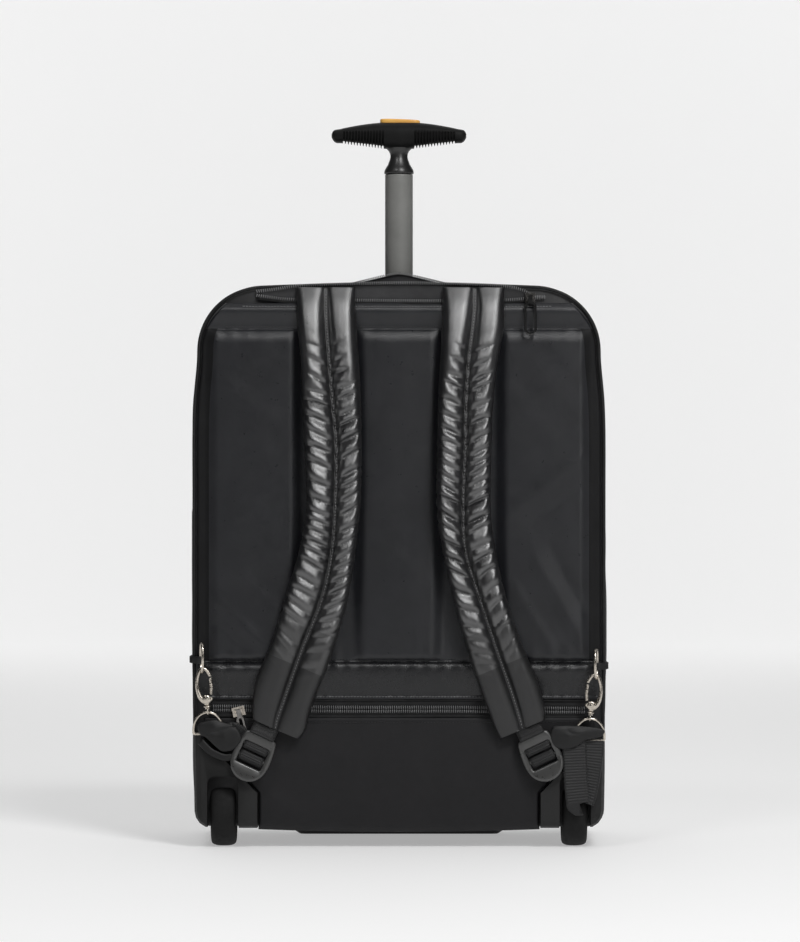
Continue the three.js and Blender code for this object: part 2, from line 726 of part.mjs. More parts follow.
function wheelParts(side, label) {
  const radius = WHEEL_DIAMETER / 2;
  const half = WHEEL_WIDTH / 2;
  const bore = AXLE_DIAMETER / 2 + GAP;
  const rim = 0.64 * radius - GAP;
  const place = [side * WHEEL_X, WHEEL_Y, WHEEL_Z];
  const tyre = turned(TYRE_ROWS.map(([r, w]) => [r * radius, w * half]), WHEEL_SIDES);
  const hub = turned([
    [bore, half - 1], [bore + 5, half - 1], [bore + 6, 5], [rim - 4, 5], [rim, 0.66 * half],
    [rim, -0.66 * half], [rim - 4, -5], [bore + 6, -5], [bore + 5, 1 - half], [bore, 1 - half],
  ], WHEEL_SIDES);
  const reach = WHEEL_WIDTH / 2 + WHEEL_CLEARANCE + AXLE_SEAT - GAP;
  const axle = rod(AXLE_DIAMETER / 2, -reach, reach, 12);
  return [
    named(`tyre_${label}`, alongX(tyre, ...place), rubber()),
    named(`hub_${label}`, alongX(hub, ...place), plastic()),
    named(`axle_${label}`, alongX(axle, ...place), nickel()),
  ];
}

function wheelHousing(side) {
  const skinRows = [
    [REAR_Y - HOUSING_REAR, 7], [REAR_Y - HOUSING_REAR + 3, 2.5], [REAR_Y - 4, 0], [HOUSING_END, 0],
  ];
  const outer = skin(skinRows.map(([y, inset]) => bagRing(y, -inset)));
  const wellTop = WHEEL_DIAMETER + WHEEL_CLEARANCE;
  const wellEnds = [side * INNER_X, side * OUTER_X].sort((a, b) => a - b);
  const well = slab(roundedBox(wellEnds[0], wellEnds[1], -CUT_MARGIN, wellTop, 7, 3), REAR_Y - CUT_MARGIN,
    WHEEL_Y + WHEEL_Z + WHEEL_CLEARANCE);
  const reach = WHEEL_WIDTH / 2 + WHEEL_CLEARANCE + AXLE_SEAT;
  const hole = alongX(rod(AXLE_DIAMETER / 2 + GAP, -reach, reach, 12), side * WHEEL_X, WHEEL_Y, WHEEL_Z);
  return cut(common(outer, cornerPrism(side, 0)), well, hole);
}

function frontFoot() {
  const middle = REAR_Y + BODY_DEPTH - FOOT_INSET - FOOT_DEPTH / 2;
  const rows = [[0, 14], [4, 8], [BODY_BOTTOM - GAP - 0.5, 0]];
  const rings = rows.map(([z, inset]) => roundedBox(
    -FOOT_WIDTH / 2 + inset, FOOT_WIDTH / 2 - inset, middle - FOOT_DEPTH / 2 + inset / 4,
    middle + FOOT_DEPTH / 2 - inset / 4, 6, 2).map(([x, y]) => v3(x, y, z)));
  return skin(rings);
}

// Shoulder strap from its top end down: shares of the drop, the spread, the width, the thickness
// and the distance that it bows away from the pads
const STRAP_ROWS = [
  { down: 0.0, across: 0.16, wide: 1.0, thick: 0.4, bow: -0.75 },
  { down: 0.03, across: 0.16, wide: 1.02, thick: 0.7, bow: -0.3 },
  { down: 0.08, across: 0.13, wide: 1.02, thick: 0.95, bow: 0.1 },
  { down: 0.25, across: 0.05, wide: 1.0, thick: 1.0, bow: 0.5 },
  { down: 0.37, across: 0.01, wide: 0.98, thick: 1.0, bow: 0.85 },
  { down: 0.48, across: 0.0, wide: 0.94, thick: 1.0, bow: 1.0 },
  { down: 0.59, across: 0.05, wide: 0.93, thick: 1.0, bow: 0.95 },
  { down: 0.705, across: 0.25, wide: 0.92, thick: 0.95, bow: 0.7 },
  { down: 0.82, across: 0.54, wide: 0.88, thick: 0.9, bow: 0.35 },
  { down: 0.93, across: 0.81, wide: 0.86, thick: 0.75, bow: 0.12 },
  { down: 0.965, across: 0.9, wide: 0.84, thick: 0.6, bow: 0.1 },
  { down: 1.0, across: 1.0, wide: 0.48, thick: 0.42, bow: 0.1 },
];

// Strap section: a flat back and two padded channels beside the middle seam
const STRAP_SECTION = [
  [1, -0.1], [0.8, 0.75], [0.45, 1], [0.13, 0.72], [0, 0.3], [-0.13, 0.72], [-0.45, 1], [-0.8, 0.75],
  [-1, -0.1], [-0.82, -1], [0.82, -1],
];

function strapStation(side, down) {
  const read = (name) => valueAt(STRAP_ROWS, 'down', name, down);
  const thick = STRAP_THICK * read('thick');
  const back = PAD_Y - GAP - STRAP_LIFT * read('bow');
  const x = side * (STRAP_REACH + STRAP_SPREAD * read('across'));
  return { at: v3(x, back - thick / 2, STRAP_TOP - STRAP_DROP * down), wide: STRAP_WIDTH * read('wide'), thick };
}

function shoulderStrap(side) {
  const rows = [];
  for (let i = 0; i <= STRAP_STEPS; i++) {
    const down = i / STRAP_STEPS;
    const row = strapStation(side, down);
    const gathered = down > GATHER_FROM && down < GATHER_TO;
    const swell = gathered && i % 2 === 0 ? -RIPPLE : 0;
    rows.push({ ...row, thick: row.thick + swell, at: row.at.clone().add(v3(0, -swell / 2, 0)) });
  }
  const stations = stationsAlong(rows.map((row) => row.at), { up: BACKWARD }, 0, 0);
  rows.forEach((row, i) => {
    stations[i].width = row.wide;
    stations[i].thick = row.thick;
  });
  return sweep(STRAP_SECTION, stations);
}

function band(points, held, width = WEBBING_WIDTH) {
  return sweep(FLAT_SECTION, stationsAlong(points, held, width, WEBBING_THICK));
}

// Ladder lock in its own frame: across in X, thickness in Y, strap end up
const LOCK_OUTLINE = [
  [0.42, 0.5], [-0.42, 0.5], [-0.5, 0.36], [-0.5, -0.05], [-0.32, -0.4], [-0.14, -0.5],
  [0.14, -0.5], [0.32, -0.4], [0.5, -0.05], [0.5, 0.36],
];
const LOCK_WINDOWS = [{ from: 0.1, to: 0.38 }, { from: -0.24, to: 0.0 }];

function ladderLock() {
  const outline = LOCK_OUTLINE.map(([u, v]) => [u * LOCK_WIDTH, v * LOCK_LENGTH]);
  const plate = slab(outline, -LOCK_THICK / 2, LOCK_THICK / 2, 1, 1);
  const half = WEBBING_WIDTH / 2 + 1;
  const windows = LOCK_WINDOWS.map(({ from, to }) => (
    block(-half, half, -LOCK_THICK, LOCK_THICK, from * LOCK_LENGTH, to * LOCK_LENGTH)));
  return cut(plate, ...windows);
}

// Webbing sewn in the strap's end, over the lock's top bar and in at its first window
function strapWebbing() {
  const over = LOCK_THICK / 2 + GAP + WEBBING_THICK / 2;
  const bar = LOCK_LENGTH / 2;
  const strapEnd = strapStation(1, 1);
  const behind = strapEnd.at.y + strapEnd.thick / 2 + GAP + WEBBING_THICK / 2 - LOCK_Y;
  const low = LOCK_WINDOWS[0].to * LOCK_LENGTH;
  return band([
    v3(0, behind, bar + 13),
    v3(0, behind, bar + 6),
    v3(0, behind - 1.8, bar + 4),
    v3(0, 1.5 - over, bar + 1.6),
    v3(0, -over, bar - 0.4),
    v3(0, -over, low),
    v3(0, -over + 2, low - 3.4),
    v3(0, 0.6, low - 4.4),
  ], { side: v3(1, 0, 0) });
}

// Adjusting webbing: up through the first window, over the middle bar and down behind the lock
function adjustStart() {
  const over = LOCK_THICK / 2 + GAP + WEBBING_THICK / 2;
  const low = LOCK_WINDOWS[0].from * LOCK_LENGTH;
  const next = LOCK_WINDOWS[1].to * LOCK_LENGTH;
  return [
    v3(0, over, low + 4.2),
    v3(0, -over + 1.4, low + 3),
    v3(0, -over, low + 0.6),
    v3(0, -over, next - 0.6),
    v3(0, -over + 1.4, next - 3),
    v3(0, over, next - 4.6),
  ];
}

function ringLoop(outline, wireDiameter, sides = 5) {
  const points = outline.map(([x, z]) => v3(x, 0, z));
  return sweep(roundSection(sides), stationsAlong(points, { side: v3(0, 1, 0) }, wireDiameter, wireDiameter, true),
    true);
}

// D ring in its own frame: straight bar low, round side up
function dRingOutline() {
  const half = (RING_WIDTH - RING_WIRE) / 2;
  const rise = RING_HEIGHT - RING_WIRE;
  const points = [];
  for (let i = 0; i <= 9; i++) {
    const angle = (i / 9) * Math.PI;
    points.push([half * Math.cos(angle), rise * Math.sin(angle) ** 0.8]);
  }
  return [...points, [-half * 0.8, -1], [half * 0.8, -1]];
}

function sideRing() {
  const outline = roundedBox(-SIDE_RING_WIDTH / 2, SIDE_RING_WIDTH / 2, -SIDE_RING_LENGTH / 2,
    SIDE_RING_LENGTH / 2, SIDE_RING_CORNER, 3);
  return ringLoop(outline, RING_WIRE);
}

// Points on the snap hook's oval; angles turn from the gate's side
function hookPoint(angle) {
  const across = (HOOK_WIDTH - HOOK_WIRE) / 2;
  const rise = (HOOK_LENGTH - HOOK_WIRE) / 2;
  return v3(across * Math.cos(angle), 0, rise * Math.sin(angle) - HOOK_LENGTH / 2);
}

function snapHook() {
  const points = [];
  for (let i = 0; i <= 18; i++) {
    const share = i / 18;
    points.push(hookPoint(THREE.MathUtils.lerp(GATE_TOP, GATE_FOOT + 2 * Math.PI, share)));
  }
  const oval = sweep(roundSection(6), stationsAlong(points, { side: v3(0, 1, 0) }, HOOK_WIRE, HOOK_WIRE));
  const stem = rod(2.6, -HOOK_LENGTH - STEM_LENGTH, -HOOK_LENGTH + 1.4, 8);
  return joined(oval, stem);
}

function hookGate() {
  const foot = hookPoint(GATE_FOOT);
  const tip = hookPoint(GATE_TOP);
  const along = tip.clone().sub(foot).normalize();
  const points = [foot.addScaledVector(along, GATE_FOOT_GAP), tip.addScaledVector(along, -GATE_TIP_GAP)];
  return sweep(roundSection(6), stationsAlong(points, { side: v3(0, 1, 0) }, GATE_WIRE, GATE_WIRE));
}

function hookSwivel() {
  const top = -HOOK_LENGTH - STEM_LENGTH - GAP;
  const head = stack([[top - SWIVEL_HEAD, 2.2], [top - 2, 3.4], [top - 1, 3.4], [top, 2.6]], 8);
  const eye = ringLoop(roundedBox(-EYE_SIZE, EYE_SIZE, -EYE_SIZE, EYE_SIZE, EYE_SIZE * 0.98, 2), EYE_WIRE);
  eye.rotateZ(Math.PI / 2).translate(0, 0, top - SWIVEL_HEAD - EYE_SIZE);
  return joined(head, eye);
}

// Fabric tab over the D ring's bar, seen from behind
const TAB_OUTLINE = [[-0.53, 0.26], [0.0, 0.4], [0.3, 0.37], [0.53, 0.0], [0.3, -0.45], [0.0, -0.4], [-0.42, -0.06]];

function strapTab(side) {
  const outline = TAB_OUTLINE.map(([u, v]) => [side * -u * TAB_WIDTH, v * TAB_HEIGHT]);
  return side < 0 ? slab(outline, -TAB_THICK / 2, TAB_THICK / 2, 1, 1)
    : slab(outline.reverse(), -TAB_THICK / 2, TAB_THICK / 2, 1, 1);
}

// Zip slider with two ears and a pin, and the pull that hangs on the pin
function slider(width, height) {
  const front = -SLIDER_THICK / 2;
  const plate = block(-width / 2, width / 2, front, SLIDER_THICK / 2, -height / 2, height / 2);
  const ears = [-1, 1].map((side) => {
    const near = side * (PULL_HEAD / 2 + GAP);
    const far = near + side * EAR_THICK;
    return block(Math.min(near, far), Math.max(near, far), front - EAR_REACH, front + 1, -2.2, 2.2);
  });
  const reach = PULL_HEAD / 2 + EAR_THICK;
  const pin = rod(PIN_DIAMETER / 2, -reach, reach, 8).rotateY(Math.PI / 2).translate(0, front - EAR_REACH + 2, 0);
  return joined(plate, ...ears, pin);
}

function zipPull(length, width) {
  const outer = roundedBox(-width / 2, width / 2, -length, -4, width / 2 - 0.4, 3);
  const rim = 2.4;
  const hole = roundedBox(-width / 2 + rim, width / 2 - rim, -length + rim, -4 - rim, width / 2 - rim - 0.3, 3);
  const loop = slab(outer, -PULL_THICK / 2, PULL_THICK / 2, 0.7, 1);
  const head = block(-PULL_HEAD / 2, PULL_HEAD / 2, -PULL_THICK / 2, PULL_THICK / 2, -6, 2);
  const eye = rod(PIN_DIAMETER / 2 + GAP, -9, 9, 8).rotateY(Math.PI / 2);
  return cut(joined(loop, head), slab(hole, -9, 9), eye);
}

// Closed zip of the main compartment: tape that runs up, over and down the gusset
function mainZip() {
  const grow = 0.5 + GAP + MAIN_ZIP_THICK / 2;
  const outline = bagOutline(grow).filter(([, z]) => z > MAIN_ZIP_LOW);
  const start = outline.findIndex(([x]) => x < 0);
  const ordered = [...outline.slice(start).reverse(), ...outline.slice(0, start).reverse()];
  const y = REAR_Y + MAIN_ZIP_SHARE * BODY_DEPTH;
  const points = ordered.map(([x, z]) => v3(x, y, z));
  return sweep(FLAT_SECTION, stationsAlong(points, { side: v3(0, 1, 0) }, MAIN_ZIP_WIDTH, MAIN_ZIP_THICK));
}

function frontPiping() {
  const y = REAR_Y + FRONT_SEAM_SHARE * BODY_DEPTH;
  const inset = valueAt(DEPTH_ROWS, 'along', 'inset', FRONT_SEAM_SHARE) * EDGE_ROUND;
  const points = bagOutline(GAP + 0.6 + PIPING / 2 - inset).map(([x, z]) => v3(x, y, z));
  return sweep(roundSection(5), stationsAlong(points, { side: v3(0, 1, 0) }, PIPING, PIPING, true), true);
}

// Turns a geometry of the lock's own frame to its place on one side
function atLock(geometry, side) {
  return geometry.rotateY(-side * LOCK_LEAN).translate(side * LOCK_X, LOCK_Y, LOCK_Z);
}

// Flat ribbon from behind the lock to the tab, and on the right the loop that hangs below the tab
function adjustWebbing(side, drop) {
  const held = { side: v3(1, 0, 0) };
  const inLock = atLock(band(adjustStart(), held), side);
  const behind = LOCK_Y + LOCK_THICK / 2 + GAP + WEBBING_THICK / 2;
  const tabBack = HOOK_Y + TAB_THICK / 2 + GAP + WEBBING_THICK / 2;
  const end = v3(side * (TAB_X - 2), tabBack, TAB_Z - drop);
  const middle = v3(side * (LOCK_X + 19), behind, LOCK_Z + 9);
  const start = v3(side * (LOCK_X - 3), behind, LOCK_Z - 6);
  const ribbon = band([start, middle, end], { up: BACKWARD }, WEBBING_WIDTH - 3);
  if (side < 0) return joined(inLock, ribbon);
  const loopX = TAB_X - LOOP_SHIFT;
  const loop = band([
    v3(loopX, tabBack - PLY_OFFSET, TAB_Z - drop + 4),
    v3(loopX + 1, tabBack - PLY_OFFSET, TAB_Z - drop - 17),
    v3(loopX + 3, tabBack - 1.4, LOOP_LOW + 20),
    v3(loopX + 5, tabBack - 2, LOOP_LOW + 3),
    v3(loopX + 5.5, tabBack - 0.8, LOOP_LOW),
    v3(loopX + 6, tabBack + 0.8, LOOP_LOW + 2.5),
    v3(loopX + 11, tabBack + 0.8, LOOP_LOW + 24),
    v3(loopX + 20, tabBack + 0.8, TAB_Z - drop - 9),
  ], held);
  return joined(inLock, ribbon, loop);
}

// Side tab sewn on the gusset, wrapped round the side ring's bar
function sideTab(side) {
  const reach = RING_WIRE / 2 + GAP + WEBBING_THICK / 2;
  const flat = HALF_WIDTH + 0.5 + GAP + WEBBING_THICK / 2;
  const bar = sideRingBar();
  const points = [v3(flat, REAR_Y + 32, 0), v3(flat, REAR_Y + 18, 0), v3(flat - 0.4, REAR_Y + 4, 0)];
  for (let i = 0; i <= 4; i++) {
    const angle = (i / 4) * Math.PI;
    points.push(v3(bar.x + reach * Math.cos(angle), bar.y - reach * Math.sin(angle), 0));
  }
  const placed = points.map((p) => v3(side * p.x, p.y, SIDE_RING_Z));
  return band(placed, { side: v3(0, 0, 1) }, SIDE_TAB_HEIGHT);
}

// The side ring's front bar, where the tab holds it, for the right side
function sideRingBar() {
  const reach = SIDE_RING_WIDTH / 2;
  return v3(SIDE_RING_X + reach * Math.cos(SIDE_RING_TURN), HOOK_Y + reach * Math.sin(SIDE_RING_TURN), 0);
}

function place(mesh, x, y, z, turnX = 0, turnY = 0, turnZ = 0) {
  mesh.position.set(x, y, z);
  mesh.rotation.set(turnX, turnY, turnZ);
  return mesh;
}

function cornerHardware(side, label, drop) {
  const corner = new THREE.Group();
  corner.position.z = -drop;
  corner.add(named(`side_tab_${label}`, sideTab(side), webbing()));
  corner.add(place(named(`side_ring_${label}`, sideRing(), nickel()),
    side * SIDE_RING_X, HOOK_Y, SIDE_RING_Z, 0, 0, side * SIDE_RING_TURN));
  const hook = new THREE.Group();
  hook.position.set(side * HOOK_X, HOOK_Y, HOOK_Z);
  hook.rotation.set(0, side * HOOK_LEAN, side > 0 ? Math.PI : 0);
  hook.add(named(`snap_hook_${label}`, snapHook(), nickel()));
  hook.add(named(`hook_gate_${label}`, hookGate(), nickel()));
  hook.add(named(`hook_swivel_${label}`, hookSwivel(), nickel()));
  corner.add(hook);
  const ring = ringLoop(dRingOutline(), RING_WIRE, 6);
  const channel = ringLoop(dRingOutline(), RING_WIRE + 3 * GAP, 6);
  for (const loop of [ring, channel]) loop.translate(side * STRAP_RING_X, HOOK_Y, STRAP_RING_Z);
  const tab = strapTab(side).translate(side * TAB_X, HOOK_Y, TAB_Z);
  corner.add(named(`strap_ring_${label}`, ring, nickel()));
  corner.add(named(`strap_tab_${label}`, cut(tab, channel), coated()));
  return corner;
}

function zipSlider(label, x, z, width, height, pullLength, pullWidth, tilt, lean) {
  const y = REAR_Y - 2 * GAP - ZIP_THICK - SLIDER_THICK / 2;
  const turned = new THREE.Group();
  turned.position.set(x, y, z);
  turned.rotation.y = lean;
  turned.add(named(`${label}_slider`, slider(width, height), nickel()));
  const pull = named(`${label}_pull`, zipPull(pullLength, pullWidth), plastic());
  turned.add(place(pull, 0, -SLIDER_THICK / 2 - EAR_REACH + 2, 0, -tilt));
  return turned;
}

const group = new THREE.Group();
group.add(named('shell', shell(), cloth()));
group.add(named('back_panel', backPanel(), coated()));
group.add(named('lower_back_panel', lowerBackPanel(), cloth()));
group.add(named('rear_piping', rearPiping(), cloth()));
group.add(named('strap_pocket_zip', strapPocketZip(), cloth()));
group.add(named('lower_zip', lowerZip(), cloth()));
group.add(named('handle_zip', handleZip(), cloth()));
group.add(...trolley());
group.add(named('handle_grip', handleGrip(), plastic()));
group.add(named('release_button', releaseButton(), orange()));
for (const [side, label] of [[-1, 'left'], [1, 'right']]) {
  group.add(named(`wheel_housing_${label}`, wheelHousing(side), plastic()));
  group.add(...wheelParts(side, label));
}
group.add(named('front_foot', frontFoot(), plastic()));
group.add(named('front_piping', frontPiping(), cloth()));
group.add(named('main_zip', mainZip(), cloth()));
for (const [side, label, drop] of [[-1, 'left', 0], [1, 'right', RIGHT_DROP]]) {
  group.add(named(`shoulder_strap_${label}`, shoulderStrap(side), coated()));
  group.add(named(`strap_webbing_${label}`, atLock(strapWebbing(), side), webbing()));
  group.add(named(`ladder_lock_${label}`, atLock(ladderLock(), side), plastic()));
  group.add(named(`adjust_webbing_${label}`, adjustWebbing(side, drop), webbing()));
  group.add(cornerHardware(side, label, drop));
}
group.add(zipSlider('top', TOP_ZIP_HALF - TOP_SLIDER_INSET, TOP_ZIP_Z, 10, 10, TOP_PULL_LENGTH, TOP_PULL_WIDTH, TOP_PULL_TILT, 0));
group.add(zipSlider('lower', LOWER_SLIDER_INSET - LOWER_ZIP_HALF,
  (LOWER_PANEL_TOP + PANEL_BOTTOM) / 2 - LOWER_SLIDER_DROP, 12, 9, LOWER_PULL_LENGTH, LOWER_PULL_WIDTH,
  0, -LOWER_SLIDER_LEAN));

export default group;
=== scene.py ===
import math
import random

import bpy
import numpy as np
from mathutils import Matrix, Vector, noise


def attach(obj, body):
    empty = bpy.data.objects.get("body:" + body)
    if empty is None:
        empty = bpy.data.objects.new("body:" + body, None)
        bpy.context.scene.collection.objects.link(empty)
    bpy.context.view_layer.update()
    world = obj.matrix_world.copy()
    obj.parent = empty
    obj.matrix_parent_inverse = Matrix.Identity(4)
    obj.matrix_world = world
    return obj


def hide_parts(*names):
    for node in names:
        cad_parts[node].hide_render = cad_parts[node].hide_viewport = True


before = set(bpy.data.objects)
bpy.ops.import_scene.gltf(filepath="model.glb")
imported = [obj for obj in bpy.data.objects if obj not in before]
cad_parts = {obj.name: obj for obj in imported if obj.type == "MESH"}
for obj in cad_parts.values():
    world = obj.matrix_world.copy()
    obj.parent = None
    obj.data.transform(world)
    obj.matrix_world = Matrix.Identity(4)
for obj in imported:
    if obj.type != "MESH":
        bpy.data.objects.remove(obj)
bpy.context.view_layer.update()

MM = 0.001

# The bag, as in the CAD source, in millimetres
HALF_WIDTH = 199.0
BODY_TOP = 539.0
BODY_BOTTOM = 19.0
REAR_Y = -84.0
BODY_DEPTH = 200.0
TOP_CORNER = 62.0
BOTTOM_CORNER = 16.0
EDGE_ROUND = 24.0
PIPING_INSET = 2.0
TUBE_Y = -39.0
TUBE_TOP = 650.0
TUBE_BASE = 170.0
PAD_Y = -96.3
PANEL_TOP = 522.5
PANEL_BOTTOM = 143.0
RIGHT_DROP = 6.0
HOUSING_SLOPE_TOP = 109.0

SIDE_ROWS = [(0.0, 0.985), (0.16, 0.995), (0.34, 1.0), (0.62, 1.0), (0.79, 0.995), (0.88, 0.977), (1.0, 0.977)]
DEPTH_ROWS = [
    (0.0, 0.2), (0.012, 0.1), (0.05, 0.03), (0.14, 0.0), (0.5, -0.02), (0.84, 0.02),
    (0.93, 0.2), (0.98, 0.55), (1.0, 1.0), (1.02, 2.4), (1.03, 4.6),
]


# Numbers read from a table on a smooth curve through its rows
def curve_at(rows, key, column=1):
    xs = np.array([row[0] for row in rows], float)
    ys = np.array([row[column] for row in rows], float)
    slopes = np.gradient(ys, xs)
    steps = np.diff(ys) / np.diff(xs)
    for i in range(1, len(xs) - 1):
        if steps[i - 1] * steps[i] <= 0:
            slopes[i] = 0.0
    key = np.clip(np.asarray(key, float), xs[0], xs[-1])
    i = np.clip(np.searchsorted(xs, key, side="right") - 1, 0, len(xs) - 2)
    span = xs[i + 1] - xs[i]
    t = (key - xs[i]) / span
    return (
        (2 * t**3 - 3 * t**2 + 1) * ys[i]
        + (t**3 - 2 * t**2 + t) * span * slopes[i]
        + (3 * t**2 - 2 * t**3) * ys[i + 1]
        + (t**3 - t**2) * span * slopes[i + 1]
    )


def smooth_step(low, high, value):
    t = np.clip((np.asarray(value, float) - low) / (high - low), 0.0, 1.0)
    return t * t * (3.0 - 2.0 * t)


def ridged(x, y, z, size, seed=0.0):
    return noise.noise(Vector((x / size + seed, y / size - seed, z / size + 2 * seed)))


# Mesh helpers: every mesh is made in millimetres where the piece stands
def add_mesh(name, points, faces, material, body="bag", smooth=True):
    mesh = bpy.data.meshes.new(name)
    mesh.from_pydata([tuple(float(c) * MM for c in p) for p in points], [], faces)
    mesh.validate()
    mesh.update()
    obj = bpy.data.objects.new(name, mesh)
    bpy.context.scene.collection.objects.link(obj)
    mesh.materials.append(material)
    if smooth:
        mesh.polygons.foreach_set("use_smooth", [True] * len(mesh.polygons))
    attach(obj, body)
    return obj


def grid_faces(rows, columns, loop_rows=False, loop_columns=False, start=0):
    faces = []
    for i in range(rows if loop_rows else rows - 1):
        for j in range(columns if loop_columns else columns - 1):
            a = start + i * columns + j
            b = start + i * columns + (j + 1) % columns
            c = start + ((i + 1) % rows) * columns + (j + 1) % columns
            d = start + ((i + 1) % rows) * columns + j
            faces.append((a, b, c, d))
    return faces


# Several closed pieces gathered in one mesh
class Gather:
    def __init__(self):
        self.points = []
        self.faces = []

    def rings(self, rings, looped=False):
        rings = np.asarray(rings, float)
        count, around = rings.shape[:2]
        start = len(self.points)
        self.points.extend(map(tuple, rings.reshape(-1, 3)))
        self.faces.extend(grid_faces(count, around, looped, True, start))
        if not looped:
            for index in (0, count - 1):
                ring = list(range(start + index * around, start + (index + 1) * around))
                self.fan(ring, rings[index].mean(axis=0), index == 0)
        return self

    def fan(self, ring, middle, backward):
        hub = len(self.points)
        self.points.append(tuple(middle))
        for a, b in zip(ring, ring[1:] + ring[:1]):
            self.faces.append((hub, b, a) if backward else (hub, a, b))

    # Round or flat section along a path
    def sweep(self, path, section, looped=False, up=None, scale=None):
        path = np.asarray(path, float)
        frames = path_frames(path, looped, up)
        rings = []
        for k, (at, side, out) in enumerate(frames):
            size = 1.0 if scale is None else scale[k]
            rings.append([at + side * a * size + out * b * size for a, b in section])
        return self.rings(rings, looped)

    def done(self, name, material, body="bag", smooth=True):
        obj = add_mesh(name, self.points, self.faces, material, body, smooth)
        fix_normals(obj)
        return obj


# Place, side and out vectors along a path; out is held near a given direction or carried along
def path_frames(path, looped, up):
    count = len(path)
    frames = []
    carried = None
    for i in range(count):
        before = path[(i - 1) % count] if looped or i > 0 else path[i]
        after = path[(i + 1) % count] if looped or i < count - 1 else path[i]
        along = after - before
        along = along / np.linalg.norm(along)
        if up is not None:
            out = np.asarray(up, float)
        elif carried is not None:
            out = carried
        else:
            out = np.array([0.0, -1.0, 0.0]) if abs(along[1]) < 0.9 else np.array([0.0, 0.0, 1.0])
        side = np.cross(out, along)
        side = side / np.linalg.norm(side)
        out = np.cross(along, side)
        carried = out
        frames.append((path[i], side, out))
    return frames


def fix_normals(obj):
    import bmesh
    bm = bmesh.new()
    bm.from_mesh(obj.data)
    bmesh.ops.recalc_face_normals(bm, faces=bm.faces)
    bm.to_mesh(obj.data)
    bm.free()


def circle(radius, sides=12, squeeze=1.0):
    angles = [2 * math.pi * (i + 0.5) / sides for i in range(sides)]
    return [(radius * math.cos(a), radius * squeeze * math.sin(a)) for a in angles]


def flat_section(width, thick, steps=1):
    half = width / 2
    edge = thick / 2
    top = [(half - edge * 0.4 - (width - edge * 0.8) * i / steps, edge) for i in range(steps + 1)]
    low = [(-x, -y) for x, y in top]
    return [(half, 0.0)] + top + [(-half, 0.0)] + low


# Curve through a few points, resampled at even steps
def through(points, step, looped=False):
    points = np.asarray(points, float)
    count = len(points)
    dense = []
    spans = count if looped else count - 1
    for i in range(spans):
        p0 = points[(i - 1) % count] if looped or i > 0 else 2 * points[0] - points[1]
        p1 = points[i]
        p2 = points[(i + 1) % count]
        p3 = points[(i + 2) % count] if looped or i < count - 2 else 2 * points[-1] - points[-2]
        for t in np.linspace(0, 1, 12, endpoint=False):
            dense.append(0.5 * (
                2 * p1 + (p2 - p0) * t + (2 * p0 - 5 * p1 + 4 * p2 - p3) * t**2
                + (3 * p1 - p0 - 3 * p2 + p3) * t**3))
    dense.append(points[0] if looped else points[-1])
    return resampled(np.array(dense), step, looped)


def resampled(dense, step, looped=False):
    lengths = np.concatenate([[0], np.cumsum(np.linalg.norm(np.diff(dense, axis=0), axis=1))])
    count = max(int(round(lengths[-1] / step)), 2)
    marks = np.linspace(0, lengths[-1], count + 1)
    even = np.stack([np.interp(marks, lengths, dense[:, k]) for k in range(dense.shape[1])], axis=1)
    return even[:-1] if looped else even


# Material helpers
def add_node(material, kind, **settings):
    new = material.node_tree.nodes.new(kind)
    for key, value in settings.items():
        setattr(new, key, value)
    return new


def wire(material, source, target):
    material.node_tree.links.new(source, target)


def base_material(name, **sockets):
    material = bpy.data.materials.new(name)
    material.use_nodes = True
    shader = material.node_tree.nodes["Principled BSDF"]
    for key, value in sockets.items():
        shader.inputs[key.replace("_", " ")].default_value = value
    return material, shader


def mapped(material, scale):
    coords = add_node(material, "ShaderNodeTexCoord")
    mapping = add_node(material, "ShaderNodeMapping")
    mapping.inputs["Scale"].default_value = scale
    wire(material, coords.outputs["Object"], mapping.inputs["Vector"])
    return mapping.outputs["Vector"]


# Noise whose features are about the given size in metres
def noise_at(material, size, detail=3.0, rough=0.5, stretch=(1, 1, 1)):
    vector = mapped(material, tuple(s / size for s in stretch))
    texture = add_node(material, "ShaderNodeTexNoise")
    texture.inputs["Scale"].default_value = 1.0
    texture.inputs["Detail"].default_value = detail
    texture.inputs["Roughness"].default_value = rough
    wire(material, vector, texture.inputs["Vector"])
    return texture.outputs["Fac"]


# Parallel ribs of a given pitch in metres, across a direction
def ribs_at(material, pitch, direction):
    vector = mapped(material, (1, 1, 1))
    dot = add_node(material, "ShaderNodeVectorMath", operation="DOT_PRODUCT")
    dot.inputs[1].default_value = tuple(c * 2 * math.pi / pitch for c in direction)
    wire(material, vector, dot.inputs[0])
    return math_node(material, "SINE", dot.outputs["Value"])


def math_node(material, operation, first, second=None):
    new = add_node(material, "ShaderNodeMath", operation=operation)
    for socket, value in zip(new.inputs, (first, second)):
        if value is None:
            continue
        if isinstance(value, (int, float)):
            socket.default_value = value
        else:
            wire(material, value, socket)
    return new.outputs["Value"]


def spread(material, factor, low, high, from_low=0.3, from_high=0.7):
    new = add_node(material, "ShaderNodeMapRange")
    new.inputs["From Min"].default_value = from_low
    new.inputs["From Max"].default_value = from_high
    new.inputs["To Min"].default_value = low
    new.inputs["To Max"].default_value = high
    wire(material, factor, new.inputs["Value"])
    return new.outputs["Result"]


def colours(material, factor, low, high, from_low=0.3, from_high=0.7):
    ramp = add_node(material, "ShaderNodeValToRGB")
    ramp.color_ramp.elements[0].position = from_low
    ramp.color_ramp.elements[0].color = (*low, 1)
    ramp.color_ramp.elements[1].position = from_high
    ramp.color_ramp.elements[1].color = (*high, 1)
    wire(material, factor, ramp.inputs["Fac"])
    return ramp.outputs["Color"]


